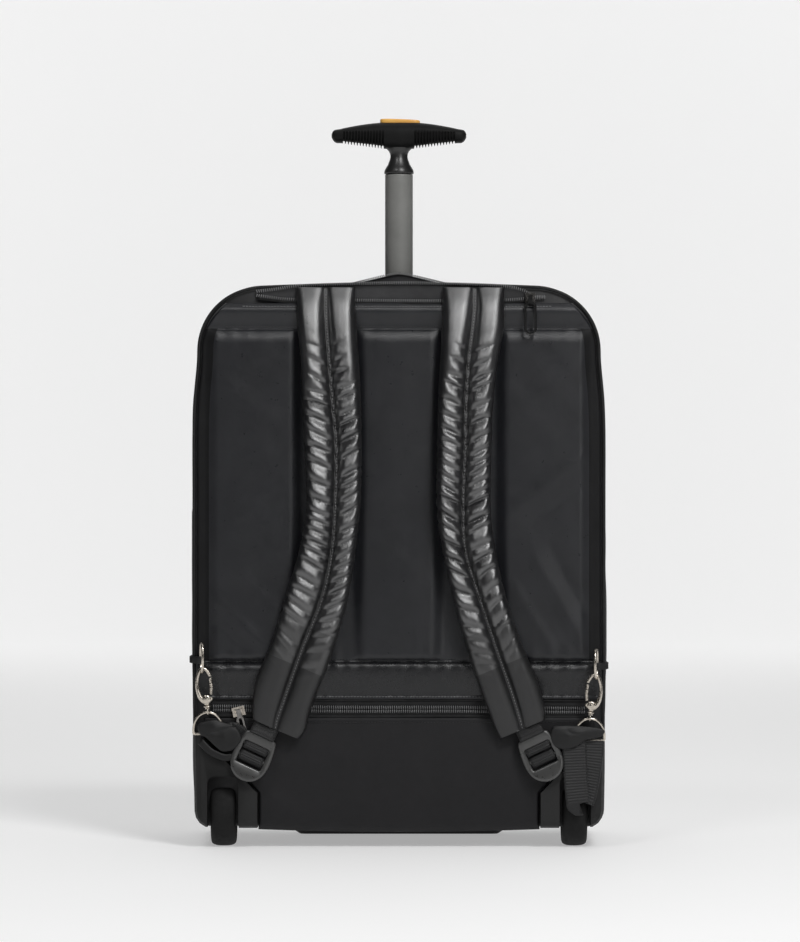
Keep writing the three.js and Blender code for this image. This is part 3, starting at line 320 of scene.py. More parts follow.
def relief(material, shader, *layers):
    normal = None
    for height, strength, distance in layers:
        bump = add_node(material, "ShaderNodeBump")
        bump.inputs["Strength"].default_value = strength
        bump.inputs["Distance"].default_value = distance
        wire(material, height, bump.inputs["Height"])
        if normal is not None:
            wire(material, normal, bump.inputs["Normal"])
        normal = bump.outputs["Normal"]
    wire(material, normal, shader.inputs["Normal"])


# Woven fabric: two sets of fine ribs crossing, soft mottling and a little wear in the gloss
def fabric(name, low, high, rough_low, rough_high, weave=0.0009, weave_depth=0.00012, grain=0.0005, **sockets):
    material, shader = base_material(name, **sockets)
    mottle = noise_at(material, 0.03, 4.0, 0.6)
    wire(material, colours(material, mottle, low, high), shader.inputs["Base Color"])
    gloss = noise_at(material, 0.008, 5.0, 0.65)
    wire(material, spread(material, gloss, rough_low, rough_high), shader.inputs["Roughness"])
    warp = ribs_at(material, weave, (1.0, 0.35, 0.0))
    weft = ribs_at(material, weave, (0.0, 0.35, 1.0))
    crossed = math_node(material, "MULTIPLY", warp, weft)
    fine = noise_at(material, grain, 2.0, 0.5)
    relief(material, shader, (crossed, 0.35, weave_depth), (fine, 0.3, 0.00012))
    return material


coated = fabric(
    "coated_fabric", (0.0092, 0.0096, 0.0114), (0.0128, 0.0133, 0.0158), 0.27, 0.36,
    weave=0.0011, Specular_IOR_Level=0.42)
strap_cloth = fabric(
    "strap_fabric", (0.0060, 0.0060, 0.0068), (0.0095, 0.0095, 0.0105), 0.27, 0.36,
    weave=0.0012, IOR=2.05, Specular_IOR_Level=0.5, Coat_Weight=0.2, Coat_Roughness=0.2)
strap_end_cloth = fabric(
    "strap_end_fabric", (0.0095, 0.0095, 0.0100), (0.0130, 0.0130, 0.0135), 0.38, 0.48,
    weave=0.0012, Specular_IOR_Level=0.6)
strap_low_cloth = fabric(
    "strap_low_fabric", (0.0080, 0.0080, 0.0086), (0.0115, 0.0115, 0.0121), 0.31, 0.40,
    weave=0.0012, IOR=1.82, Specular_IOR_Level=0.5)
# Darker, duller copy of the panel cloth for the panel's sides: painted shade where the panel rolls away toward the
# piping
painted_shade_cloth = fabric(
    "painted_shade_cloth", (0.0040, 0.0040, 0.0044), (0.0062, 0.0062, 0.0068), 0.5, 0.6,
    weave=0.0011, Specular_IOR_Level=0.2)
band_cloth = fabric(
    "band_cloth", (0.0060, 0.0062, 0.0072), (0.0090, 0.0092, 0.0105), 0.24, 0.32,
    weave=0.0011, IOR=1.46, Specular_IOR_Level=0.5)
smooth_cloth = fabric(
    "smooth_cloth", (0.0060, 0.0058, 0.0068), (0.0085, 0.0082, 0.0094), 0.50, 0.60,
    weave=0.0008, weave_depth=0.00008, Specular_IOR_Level=0.3, Sheen_Weight=0.02, Sheen_Roughness=0.5)
gusset_cloth = fabric(
    "gusset_cloth", (0.0080, 0.0080, 0.0085), (0.0120, 0.0118, 0.0124), 0.5, 0.66,
    weave=0.0010, Specular_IOR_Level=0.4, Sheen_Weight=0.03, Sheen_Roughness=0.5)
piping_cloth = fabric(
    "piping_cloth", (0.0045, 0.0045, 0.0050), (0.0080, 0.0080, 0.0085), 0.5, 0.7,
    weave=0.0008, Specular_IOR_Level=0.35)
tape_cloth = fabric(
    "zip_tape", (0.0060, 0.0060, 0.0065), (0.0110, 0.0110, 0.0115), 0.62, 0.8,
    weave=0.0007, weave_depth=0.0002, Specular_IOR_Level=0.3)
thread = fabric(
    "thread", (0.085, 0.085, 0.087), (0.14, 0.14, 0.143), 0.45, 0.6, weave=0.0004, Specular_IOR_Level=0.5)
light_thread = fabric(
    "light_thread", (0.16, 0.16, 0.163), (0.24, 0.24, 0.243), 0.45, 0.6, weave=0.0004, Specular_IOR_Level=0.5)
dark_thread = fabric(
    "dark_thread", (0.020, 0.020, 0.021), (0.036, 0.036, 0.038), 0.45, 0.6, weave=0.0004,
    Specular_IOR_Level=0.45)


# Ribbed webbing: cross ribs in the weave direction and a fine twill over them
def webbing_material(name):
    material, shader = base_material(name, Specular_IOR_Level=0.4, Sheen_Weight=0.05, Sheen_Roughness=0.4)
    mottle = noise_at(material, 0.006, 3.0, 0.6)
    wire(material, colours(material, mottle, (0.006, 0.006, 0.0065), (0.013, 0.013, 0.0135)),
         shader.inputs["Base Color"])
    wire(material, spread(material, mottle, 0.42, 0.6), shader.inputs["Roughness"])
    twill = ribs_at(material, 0.0011, (0.8, 0.2, 0.6))
    fine = noise_at(material, 0.0004, 2.0)
    relief(material, shader, (twill, 0.4, 0.00012), (fine, 0.3, 0.0001))
    return material


webbing = webbing_material("webbing")


# Moulded plastic: fine spark texture, faint mottling, and lighter edges: slight wear on the housings and grip, and on
# the ladder lock a painted highlight along its bevels
def plastic(name, low, high, rough_low, rough_high, grain=0.0007, depth=0.00008, edge_wear_and_highlight=0.0, **sockets):
    material, shader = base_material(name, **sockets)
    mottle = noise_at(material, 0.02, 4.0, 0.6)
    colour = colours(material, mottle, low, high)
    # Sharp edges are lightened: a little wear at small amounts, a painted highlight on the lock's bevels at 0.9
    if edge_wear_and_highlight > 0:
        edge = add_node(material, "ShaderNodeNewGeometry").outputs["Pointiness"]
        share = spread(material, edge, 0.0, edge_wear_and_highlight, 0.52, 0.6)
        mix = add_node(material, "ShaderNodeMix", data_type="RGBA")
        wire(material, share, mix.inputs["Factor"])
        wire(material, colour, mix.inputs[6])
        mix.inputs[7].default_value = (0.10, 0.10, 0.10, 1)
        colour = mix.outputs[2]
    wire(material, colour, shader.inputs["Base Color"])
    gloss = noise_at(material, 0.004, 4.0, 0.6)
    wire(material, spread(material, gloss, rough_low, rough_high), shader.inputs["Roughness"])
    relief(material, shader, (noise_at(material, grain, 3.0, 0.6), 0.4, depth))
    return material


housing_plastic = plastic(
    "housing_plastic", (0.006, 0.006, 0.006), (0.009, 0.009, 0.009), 0.5, 0.62, edge_wear_and_highlight=0.15, Specular_IOR_Level=0.2)
# The lock's strong edge lightening is a painted highlight along its bevels
lock_plastic = plastic(
    "lock_plastic", (0.030, 0.030, 0.029), (0.040, 0.040, 0.039), 0.26, 0.36, edge_wear_and_highlight=0.9, Specular_IOR_Level=0.75)
grip_plastic = plastic(
    "grip_plastic", (0.005, 0.005, 0.005), (0.008, 0.008, 0.008), 0.5, 0.62, edge_wear_and_highlight=0.08, Specular_IOR_Level=0.12)
neck_plastic = plastic(
    "neck_plastic", (0.012, 0.012, 0.012), (0.017, 0.017, 0.017), 0.3, 0.4, Specular_IOR_Level=0.6)
button_plastic = plastic(
    "button_plastic", (0.80, 0.40, 0.09), (0.88, 0.49, 0.12), 0.32, 0.42, depth=0.00003, Specular_IOR_Level=0.5,
    Subsurface_Weight=0.05)
gloss_plastic = plastic(
    "gloss_plastic", (0.006, 0.006, 0.006), (0.010, 0.010, 0.010), 0.12, 0.22, depth=0.00002,
    Specular_IOR_Level=0.55, Coat_Weight=0.3, Coat_Roughness=0.1)
# Zip teeth coloured light grey: a painted highlight standing in for their glints
tooth_plastic_painted_highlight = plastic(
    "tooth_plastic_painted_highlight", (0.12, 0.12, 0.122), (0.20, 0.20, 0.203), 0.26, 0.38, depth=0.00002,
    Specular_IOR_Level=0.5)
tyre_rubber = plastic(
    "tyre_rubber", (0.006, 0.006, 0.006), (0.009, 0.009, 0.009), 0.6, 0.75, grain=0.0012, depth=0.00015,
    Specular_IOR_Level=0.22)


# Metals: base tint, fine scratches in the gloss and soft casting ripples
def metal(name, tint, deep, rough_low, rough_high, stretch=(1, 1, 1), size=0.002, depth=0.00004, wave=0.006,
          wave_depth=0.0001, **sockets):
    material, shader = base_material(name, Metallic=1.0, **sockets)
    mottle = noise_at(material, 0.004, 4.0, 0.6)
    wire(material, colours(material, mottle, deep, tint, 0.25, 0.6), shader.inputs["Base Color"])
    scratch = noise_at(material, size, 4.0, 0.7, stretch)
    wire(material, spread(material, scratch, rough_low, rough_high), shader.inputs["Roughness"])
    relief(material, shader, (scratch, 0.25, depth), (noise_at(material, wave, 2.0), 0.3, wave_depth))
    return material


nickel = metal("nickel", (0.62, 0.57, 0.50), (0.42, 0.38, 0.33), 0.16, 0.34)
dark_metal = metal("dark_metal", (0.30, 0.29, 0.28), (0.16, 0.155, 0.15), 0.14, 0.3)
steel = metal("steel", (0.5, 0.5, 0.5), (0.36, 0.36, 0.36), 0.25, 0.4)
anodised = plastic(
    "anodised_tube", (0.175, 0.176, 0.168), (0.205, 0.206, 0.197), 0.42, 0.5, grain=0.0006, depth=0.00002,
    Metallic=0.1, Specular_IOR_Level=0.15)


def half_at(z):
    return HALF_WIDTH * curve_at(SIDE_ROWS, (np.asarray(z, float) - BODY_BOTTOM) / (BODY_TOP - BODY_BOTTOM))


# Bag outline in X and Z, grown or drawn in; rings of any size have matching points
def bag_outline(grow, fine=1.0):
    top = BODY_TOP + grow
    bottom = BODY_BOTTOM - grow
    high = max(TOP_CORNER + grow, 4.0)
    low = max(BOTTOM_CORNER + grow, 4.0)
    right = [(x, bottom) for x in np.linspace(0, float(half_at(bottom)) + grow - low, int(24 * fine), endpoint=False)]
    for angle in np.linspace(0, math.pi / 2, int(8 * fine), endpoint=False):
        z = bottom + low - low * math.cos(angle)
        right.append((float(half_at(z)) + grow - low + low * math.sin(angle), z))
    for z in np.linspace(bottom + low, top - high, int(100 * fine), endpoint=False):
        right.append((float(half_at(z)) + grow, z))
    for angle in np.linspace(0, math.pi / 2, int(22 * fine), endpoint=False):
        z = top - high + high * math.sin(angle)
        right.append((float(half_at(z)) + grow - high + high * math.cos(angle), z))
    for x in np.linspace(float(half_at(top)) + grow - high, 0, int(36 * fine)):
        right.append((x, top))
    left = [(-x, z) for x, z in right[1:-1][::-1]]
    return np.array(right + left, float)


# The top edge crowns toward its middle
def crown(x, z):
    share = smooth_step(BODY_TOP - 26.0, BODY_TOP - 4.0, z)
    return 4.2 * share * np.clip(1 - (np.abs(x) / 150.0) ** 1.6, 0, 1)


def outward(outline):
    tangent = np.roll(outline, -1, axis=0) - np.roll(outline, 1, axis=0)
    normal = np.stack([tangent[:, 1], -tangent[:, 0]], axis=1)
    return normal / np.linalg.norm(normal, axis=1)[:, None]


GUSSET_SEAM_Z = 329.0
SLIT_HALF = 45.5
SLIT_REACH = 19.0


def in_slit(x, y, grow):
    return (x / (SLIT_HALF + grow)) ** 2 + ((y - TUBE_Y) / (SLIT_REACH + grow)) ** 2 < 1.0


# Cloth body: gusset with soft drape, a cross seam on each side and a crowned front
def bag_skin():
    alongs = np.concatenate([
        [0.0, 0.006, 0.012, 0.02, 0.032], np.linspace(0.05, 0.9, 48), np.linspace(0.915, 1.0, 12)])
    rings = []
    for along in alongs:
        inset = float(curve_at(DEPTH_ROWS[:9], along)) * EDGE_ROUND
        outline = bag_outline(-inset)
        normal = outward(outline)
        y = REAR_Y + BODY_DEPTH * along
        calm = float(smooth_step(0.0, 0.06, along)) * float(smooth_step(1.02, 0.9, along))
        ring = []
        for (x, z), (nx, nz) in zip(outline, normal):
            push = 1.5 * ridged(x, y, z, 75.0, 3.1) + 0.7 * ridged(x, y, z * 0.6, 26.0, 8.2)
            side = abs(nx)
            push += side * 1.1 * float(smooth_step(GUSSET_SEAM_Z + 14, GUSSET_SEAM_Z - 4, z))
            push -= side * 1.8 * math.exp(-((z - GUSSET_SEAM_Z) / 2.2) ** 2)
            push += side * 0.8 * math.sin(z / 21.0 + 2.0 * ridged(x, y, z, 60.0, 1.0)) * float(
                smooth_step(0.1, 0.4, along))
            push *= calm
            sag = 3.0 * max(0.0, 1 - (x / 132.0) ** 2) * float(smooth_step(40, -30, y)) if nz < -0.7 else 0.0
            lift = float(crown(x, z)) * float(smooth_step(110.0, -20.0, y))
            ring.append((x + nx * push, y, z + nz * push * 0.7 - sag + lift))
        rings.append(ring)
    last = np.array(rings[-1])
    middle = last.mean(axis=0)
    for share in np.linspace(0.96, 0.04, 24):
        ring = middle + (last - middle) * share
        ring[:, 1] = last[:, 1] + 6.0 * (1 - share**4)
        for point in ring:
            point[1] += 0.9 * ridged(point[0], 0.0, point[2], 80.0, 5.0) * (1 - share**6)
        rings.append([tuple(p) for p in ring])
    made = Gather().rings(rings)
    kept = []
    for face in made.faces:
        x, y, z = np.mean([made.points[i] for i in face], axis=0)
        if z > BODY_TOP - 8 and in_slit(x, y, 2.4):
            continue
        kept.append(face)
    made.faces = kept
    return made


skin = bag_skin().done("bag_body", gusset_cloth)
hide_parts("shell")


# Puckers that fade away from a seam
def puckers(x, z, seam_z, reach, size, seed):
    fade = np.exp(-np.abs(z - seam_z) / reach)
    wave = np.sin(x / size * 2 * math.pi + 2.3 * np.sin(x / (size * 3.7) + seed)) * np.sin(x / (size * 2.3) + seed)
    return fade * wave


# Soft crease along a line from one point to another
def crease(x, z, line, width, depth):
    (x0, z0), (x1, z1) = line
    length = math.hypot(x1 - x0, z1 - z0)
    ux, uz = (x1 - x0) / length, (z1 - z0) / length
    along = ((x - x0) * ux + (z - z0) * uz) / length
    off = (x - x0) * -uz + (z - z0) * ux
    ends = smooth_step(-0.15, 0.25, along) * smooth_step(1.15, 0.75, along)
    return depth * ends * np.exp(-(off / width) ** 2)


PAD_SEAM_Z = 498.5
PAD_LOW_Z = 179.0
BAND_LOW_Z = 146.5
PADS = [(-187.0, -92.0), (-45.0, 44.0), (92.0, 186.5)]
CREASES = [
    (((96, 312), (186, 384)), 8.0, 1.1), (((112, 300), (186, 352)), 6.0, -0.7),
    (((128, 284), (178, 196)), 7.0, 0.9), (((144, 290), (186, 214)), 5.0, -0.6),
    (((104, 262), (150, 186)), 6.0, 0.6), (((110, 420), (184, 470)), 9.0, 0.6),
    (((-182, 246), (-128, 192)), 7.0, 0.9), (((-184, 222), (-146, 184)), 5.0, -0.6),
    (((-176, 286), (-104, 214)), 8.0, 0.6), (((-180, 452), (-100, 400)), 12.0, 0.5),
    (((-30, 300), (36, 250)), 9.0, 0.4), (((-36, 220), (30, 188)), 7.0, 0.4),
]


def panel_half(z, margin):
    high = TOP_CORNER - margin
    over = np.maximum(z - (BODY_TOP - margin - high), 0)
    return half_at(z) - margin - high + np.sqrt(np.maximum(high**2 - over**2, 0))


# How far the rear panel stands off the bag at a place
def panel_height(x, z):
    edge = panel_half(z, 4.4) - np.abs(x)
    rim = np.clip(edge / 3.5, 0, 1)
    height = 3.6 * np.sqrt(1 - (1 - rim) ** 2)
    for x0, x1 in PADS:
        across = np.clip(((x1 - x0) / 2 - np.abs(x - (x0 + x1) / 2)) / 13.0, 0, 1)
        rise = np.clip((z - PAD_LOW_Z) / 6.5, 0, 1)
        fall = np.clip((PAD_SEAM_Z - z) / 14.0, 0, 1)
        swell = np.clip(1 - ((x - (x0 + x1) / 2) / ((x1 - x0) / 2)) ** 2, 0, 1)
        plateau = smooth_step(0, 1, across) * (1 - (1 - rise) ** 2.2) * (1 - (1 - fall) ** 2.0)
        height = height + plateau * (4.2 + 0.8 * swell)
    strip = np.clip((z - PAD_SEAM_Z) / (PANEL_TOP - PAD_SEAM_Z), 0, 1)
    height = height + 3.8 * np.sin(strip**2.0 * math.pi) * (z > PAD_SEAM_Z) * rim
    share = np.clip((PAD_LOW_Z - z) / (PAD_LOW_Z - BAND_LOW_Z), 0, 1)
    ends = smooth_step(0, 16, edge)
    outer = smooth_step(70, 125, np.abs(x))
    height = height + (4.8 + 1.2 * outer) * np.sin(share**0.52 * math.pi) ** (0.8 + 0.8 * outer) * ends
    height = height - 0.9 * np.exp(-((z - PAD_SEAM_Z) / 0.9) ** 2) * rim
    height = height - 1.6 * np.exp(-((z - PAD_LOW_Z + 0.3) / 1.4) ** 2) * rim
    height = height - 0.8 * np.exp(-((z - BAND_LOW_Z) / 1.0) ** 2) * rim
    height = height + 0.8 * puckers(x, z, PAD_LOW_Z, 7.0, 15.0, 0.4) * ends
    height = height + 0.4 * puckers(x, z, BAND_LOW_Z, 5.0, 11.0, 1.7) * ends
    height = height + 0.4 * puckers(x, z, PAD_SEAM_Z, 7.0, 17.0, 2.9) * ends
    for line, width, depth in CREASES:
        height = height + crease(x, z, line, width, depth) * ends
    return height


def sheet_grid(name, zs, half, height, material, rows_wide, node, drape, back=REAR_Y, skirt=1.5):
    us = np.sin(np.linspace(-1, 1, rows_wide) * math.pi / 2 * 0.86) / math.sin(math.pi / 2 * 0.86)
    points = []
    for z in zs:
        xs = us * float(half(z))
        hs = height(xs, np.full_like(xs, z))
        for x, h in zip(xs, hs):
            soft = min(1.0, h / 3.0)
            h += soft * (drape * ridged(x, 0.0, z, 70.0, 2.0) + 0.35 * drape * ridged(x, 0.0, z, 24.0, 6.0))
            points.append((x, back - 0.3 - h, z))
    rows = len(zs)
    faces = grid_faces(rows, rows_wide)
    edge = (
        list(range(rows_wide)) + [r * rows_wide + rows_wide - 1 for r in range(1, rows)]
        + [(rows - 1) * rows_wide + c for c in range(rows_wide - 2, -1, -1)]
        + [r * rows_wide for r in range(rows - 2, 0, -1)])
    start = len(points)
    for i in edge:
        x, y, z = points[i]
        points.append((x, back + skirt, z))
    for k in range(len(edge)):
        n = (k + 1) % len(edge)
        faces.append((edge[k], start + k, start + n, edge[n]))
    made = Gather()
    made.points = points
    made.faces = faces
    obj = made.done(name, material)
    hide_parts(node)
    return obj


panel_rows = np.concatenate([
    np.linspace(PANEL_BOTTOM, 146.0, 4, endpoint=False), np.linspace(146.0, 182.0, 28, endpoint=False),
    np.linspace(182.0, 484.0, 134, endpoint=False), np.linspace(484.0, 523.2, 36)])
rear_panel = sheet_grid(
    "rear_panel", panel_rows, lambda z: panel_half(z, 4.4), panel_height, coated, 210,
    "back_panel", 0.9)
rear_panel.data.materials.append(painted_shade_cloth)
rear_panel.data.materials.append(band_cloth)
for polygon in rear_panel.data.polygons:
    middle_x, middle_z = polygon.center.x / MM, polygon.center.z / MM
    if BAND_LOW_Z < middle_z < PAD_LOW_Z:
        polygon.material_index = 2
    # Faces along the panel's sides take the darker cloth: painted shade
    elif PAD_LOW_Z < middle_z < PAD_SEAM_Z and abs(middle_x) > 0.937 * float(panel_half(middle_z, 4.4)):
        polygon.material_index = 1


# Lower rear panel between the corner guards
def lower_half(z):
    slope = 136.3 + max(z - 53.0, 0.0) * (191.0 - 136.3) / (HOUSING_SLOPE_TOP - 53.0)
    return min(float(half_at(z)) - 10.0, slope - 1.2 if z < HOUSING_SLOPE_TOP else 1000.0)


def lower_height(x, z):
    edge = np.array([lower_half(v) for v in z]) - np.abs(x)
    rim = np.clip(edge / 3.0, 0, 1)
    ends = np.sqrt(1 - (1 - rim) ** 2)
    fall = np.clip((z - 19.0) / 7.0, 0, 1)
    height = 4.2 * ends * np.sqrt(1 - (1 - fall) ** 2)
    height = height + 1.4 * ends * np.sin(np.clip((z - 20.0) / 104.0, 0, 1) * math.pi)
    height = height + 0.7 * crease(x, z, ((-128, 52), (-96, 30)), 8.0, 1.0)
    return height


lower_panel = sheet_grid(
    "lower_panel", np.linspace(17.4, 124.6, 60), lower_half, lower_height, smooth_cloth, 150,
    "lower_back_panel", 0.7)
for vertex in lower_panel.data.vertices:
    x, z = vertex.co.x / MM, vertex.co.z / MM
    if z < 30:
        vertex.co.z -= 2.6 * MM * max(0.0, 1 - (x / 134.0) ** 2) * float(smooth_step(30, 18, z))


# Piping round the rear edge, lifted to the top edge above the zip mouth
def rear_piping_path():
    outline = bag_outline(-PIPING_INSET)
    share = smooth_step(BODY_TOP - 1.5 * TOP_CORNER, BODY_TOP - PIPING_INSET, outline[:, 1])
    lifted = outline + np.stack([np.zeros_like(share), share * 0.8], axis=1)
    path = [(x, REAR_Y - 1.8, z + float(crown(x, z))) for x, z in lifted]
    return path


def ordered_above(path, low):
    kept = [p for p in path if p[2] > low]
    rights = sorted([p for p in kept if p[0] >= 0 and p[2] < BODY_TOP - TOP_CORNER], key=lambda p: p[2])
    lefts = sorted([p for p in kept if p[0] < 0 and p[2] < BODY_TOP - TOP_CORNER], key=lambda p: -p[2])
    tops = sorted([p for p in kept if p[2] >= BODY_TOP - TOP_CORNER], key=lambda p: -p[0])
    return np.array(rights + tops + lefts)


rear_piping = Gather()
rear_piping.sweep(resampled(ordered_above(rear_piping_path(), 107.5), 3.0), circle(1.6, 12))
piece = rear_piping.done("rear_edge_piping", piping_cloth)
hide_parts("rear_piping")

front_y = REAR_Y + 0.93 * BODY_DEPTH
front_grow = 1.0 - float(curve_at(DEPTH_ROWS[:9], 0.93)) * EDGE_ROUND
front_path = np.array([(x, front_y, z) for x, z in bag_outline(front_grow)])
piece = Gather().sweep(front_path, circle(2.3, 12), looped=True).done("front_edge_piping", piping_cloth)
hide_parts("front_piping")


# Straps seen from behind, from the top down: height, left edge, middle seam, right edge
LEFT_STRAP = [
    (107.9, -140.0, -120.0, -101.0), (122.0, -140.5, -117.0, -91.0), (142.0, -138.5, -110.0, -85.0),
    (190.0, -121.0, -93.0, -66.5), (238.0, -107.5, -74.0, -50.5), (286.0, -95.0, -63.5, -41.5),
    (334.0, -88.5, -60.5, -36.5), (382.0, -90.5, -59.5, -35.5), (430.0, -92.5, -63.5, -36.5),
    (478.0, -95.0, -67.5, -39.0), (497.0, -97.0, -69.0, -40.5), (524.0, -98.5, -70.0, -42.0),
    (538.2, -98.5, -70.0, -42.0),
]
RIGHT_STRAP = [
    (107.9, 101.0, 120.0, 140.0), (122.0, 93.5, 116.5, 140.0), (142.0, 85.5, 110.5, 135.5),
    (190.0, 68.5, 94.0, 116.5), (238.0, 53.5, 78.0, 102.0), (286.0, 41.5, 63.5, 92.0),
    (334.0, 35.5, 61.5, 87.5), (382.0, 36.5, 63.5, 88.5), (430.0, 37.5, 64.5, 90.5),
    (478.0, 40.0, 68.0, 96.5), (497.0, 41.0, 70.5, 100.0), (524.0, 42.0, 73.0, 101.0),
    (538.2, 42.0, 73.0, 101.0),
]
# Shares of the drop: thickness of the strap and how far it bows off the pads, in millimetres
STRAP_DEPTH = [
    (0.0, 5.0, -8.0), (0.03, 8.6, -5.0), (0.08, 11.6, -0.4), (0.16, 13.2, 4.4), (0.25, 13.4, 7.6), (0.37, 13.2, 10.4),
    (0.48, 13.2, 12.0), (0.59, 13.2, 11.4), (0.705, 12.4, 8.4), (0.82, 11.4, 4.2), (0.93, 9.4, 1.6),
    (0.965, 7.6, 1.2), (1.0, 5.0, 1.2),
]
STRAP_HIGH = 538.2
STRAP_LOW = 114.5
GATHER_PITCH = 13.6


# Gathers of one channel: narrow valleys that run down towards the seam, with full crests between them
def gather_marks(seed):
    rng = random.Random(seed)
    marks = []
    at = 42.0
    while at < 384.0:
        long = float(smooth_step(90, 150, at))
        marks.append((
            at, rng.uniform(0.6, 1.15), rng.uniform(-0.12, 0.12), rng.uniform(-0.2, 0.25),
            rng.uniform(0.35, 0.75) + 0.45 * long))
        at += GATHER_PITCH * rng.uniform(0.62, 1.32)
    return marks


def gather_height(down_mm, across, marks):
    rows = np.array([
        at - (across - 0.5) * 24.0 * (0.55 + skew) + bend * 7.0 * np.sin(across * math.pi)
        for at, size, skew, bend, reach in marks])
    place = np.clip((rows <= down_mm).sum(axis=0), 1, len(marks) - 1)
    column = np.arange(len(across))
    above, below = rows[place - 1, column], rows[place, column]
    share = np.clip((down_mm - above) / np.maximum(below - above, 2.0), 0, 1)
    sizes = np.array([mark[1] for mark in marks])[place]
    reaches = np.array([mark[4] for mark in marks])[place]
    fade = 1.0 - smooth_step(reaches - 0.2, reaches + 0.25, across)
    pillow = 1 - np.abs(2 * share**1.5 - 1) ** 2.1
    return (pillow - 1) * sizes * (below - above) / 12.5 * fade


def strap_mesh(side, rows, seed):
    count = 372
    across = np.linspace(-1, 1, 61)
    back_across = np.linspace(1, -1, 21)[1:-1]
    marks = (gather_marks(seed), gather_marks(seed + 17))
    seam_line = []
    rings = []
    for k in range(count + 1):
        down = k / count
        z = STRAP_HIGH + (STRAP_LOW - STRAP_HIGH) * down
        left = float(curve_at(rows, z, 1))
        seam = float(curve_at(rows, z, 2))
        right = float(curve_at(rows, z, 3))
        thick = float(curve_at(STRAP_DEPTH, down, 1))
        bow = float(curve_at(STRAP_DEPTH, down, 2))
        back = PAD_Y - 0.4 - bow
        down_mm = (STRAP_HIGH - STRAP_LOW) * down
        gather = float(smooth_step(36, 92, down_mm)) * float(smooth_step(392, 322, down_mm))
        fade = 0.45 + 0.55 * float(smooth_step(380, 250, down_mm))
        tilt = side * 0.42 * float(smooth_step(330, 170, z))
        lean = float(smooth_step(200, 330, z)) - 0.3 - 0.5 * float(smooth_step(480, 528, z))
        ring = []
        for u in across:
            x = seam + (seam - left if u < 0 else right - seam) * u
            share = abs(u)
            inner = max(0.0, (share - 0.07) / 0.93)
            dome = max(1 - abs(2 * inner - 1) ** 3.2, 0.0) ** 0.7
            lift = thick * (0.30 + 0.70 * dome) if inner < 0.5 else thick * (0.10 + 0.90 * dome)
            lift -= 2.4 * u * dome * lean
            ring.append([x, share, u, lift])
        shares = np.array([r[1] for r in ring])
        signs = np.array([r[2] for r in ring])
        lifts = np.array([r[3] for r in ring])
        xs = np.array([r[0] for r in ring])
        folds = np.where(
            signs < 0, gather_height(down_mm, shares, marks[0]), gather_height(down_mm, shares, marks[1]))
        dome = np.clip(1 - np.abs(2 * shares - 1) ** 3, 0, 1)
        lumps = np.array([ridged(x, 0.0, z, 19.0, seed + 4.0) for x in xs])
        lifts = lifts + gather * (fade * folds * 3.9 + 0.9 * lumps + 0.9) * np.sqrt(np.maximum(dome, 0))
        xs = xs + gather * fade * 0.9 * folds * smooth_step(0.75, 1.0, shares) * np.sign(signs)
        for i, (x, lift) in enumerate(zip(xs, lifts)):
            lift += 0.35 * ridged(x, 0.0, z, 26.0, seed) * dome[i]
            ring[i] = (x, back - max(lift, 0.6), z + tilt * (x - seam))
        for u in back_across:
            x = seam + (seam - left if u < 0 else right - seam) * u
            ring.append((x, back, z + tilt * (x - seam)))
        seam_line.append(ring[30])
        rings.append(ring)
    made = Gather().rings(rings)
    return made, seam_line


def build_strap(side, rows, label, seed):
    made, seam_line = strap_mesh(side, rows, seed)
    obj = made.done(f"strap_{label}", strap_cloth)
    obj.data.materials.append(strap_end_cloth)
    obj.data.materials.append(strap_low_cloth)
    around = 80
    plain_from = int(0.855 * (len(obj.data.vertices) // around)) * around
    dull_from = int(0.77 * (len(obj.data.vertices) // around)) * around
    for polygon in obj.data.polygons:
        near_seam = all(28 <= v % around <= 32 for v in polygon.vertices)
        if min(polygon.vertices) >= plain_from or near_seam:
            polygon.material_index = 1
        elif min(polygon.vertices) >= dull_from:
            polygon.material_index = 2
    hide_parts(f"shoulder_strap_{label}")
    return seam_line


left_seam = build_strap(-1, sorted(LEFT_STRAP), "left", 11)
right_seam = build_strap(1, sorted(RIGHT_STRAP), "right", 23)


# Short thread stitches along a path, standing just off the cloth
def stitches(name, paths, length, gap, radius, material, out=(0, -1, 0), lift=0.15):
    made = Gather()
    out = np.asarray(out, float)
    rng = random.Random(len(paths) * 7 + 5)
    for path in paths:
        dense = np.asarray(path, float)
        marks = resampled(dense, 0.5)
        step = max(int((length + gap) / 0.5), 2)
        reach = max(int(length / 0.5), 1)
        for i in range(0, len(marks) - reach - 1, step):
            a = marks[i]
            b = marks[i + reach]
            middle = (a + b) / 2 + out * (lift + 0.25 * radius + rng.uniform(-0.04, 0.04))
            made.sweep([a + out * -0.3, a * 0.8 + b * 0.2 + out * lift, middle, a * 0.2 + b * 0.8 + out * lift,
                        b + out * -0.3], circle(radius, 5))
    obj = made.done(name, material)
    return obj


stitches("strap_seam_stitches", [left_seam[6:], right_seam[6:]], 1.6, 1.7, 0.34, light_thread, lift=0.6)


# Surface of a made sheet, so that stitches and trims can lie on it
def panel_front(x, z):
    height = float(panel_height(np.array([float(x)]), np.array([float(z)]))[0])
    soft = min(1.0, height / 3.0)
    height += soft * (0.9 * ridged(x, 0.0, z, 70.0, 2.0) + 0.315 * ridged(x, 0.0, z, 24.0, 6.0))
    return REAR_Y - 0.3 - height


def panel_run(z, reach, step=2.0, start=None):
    start = -reach if start is None else start
    return [(x, panel_front(x, z) + 0.1, z) for x in np.arange(start, reach, step)]


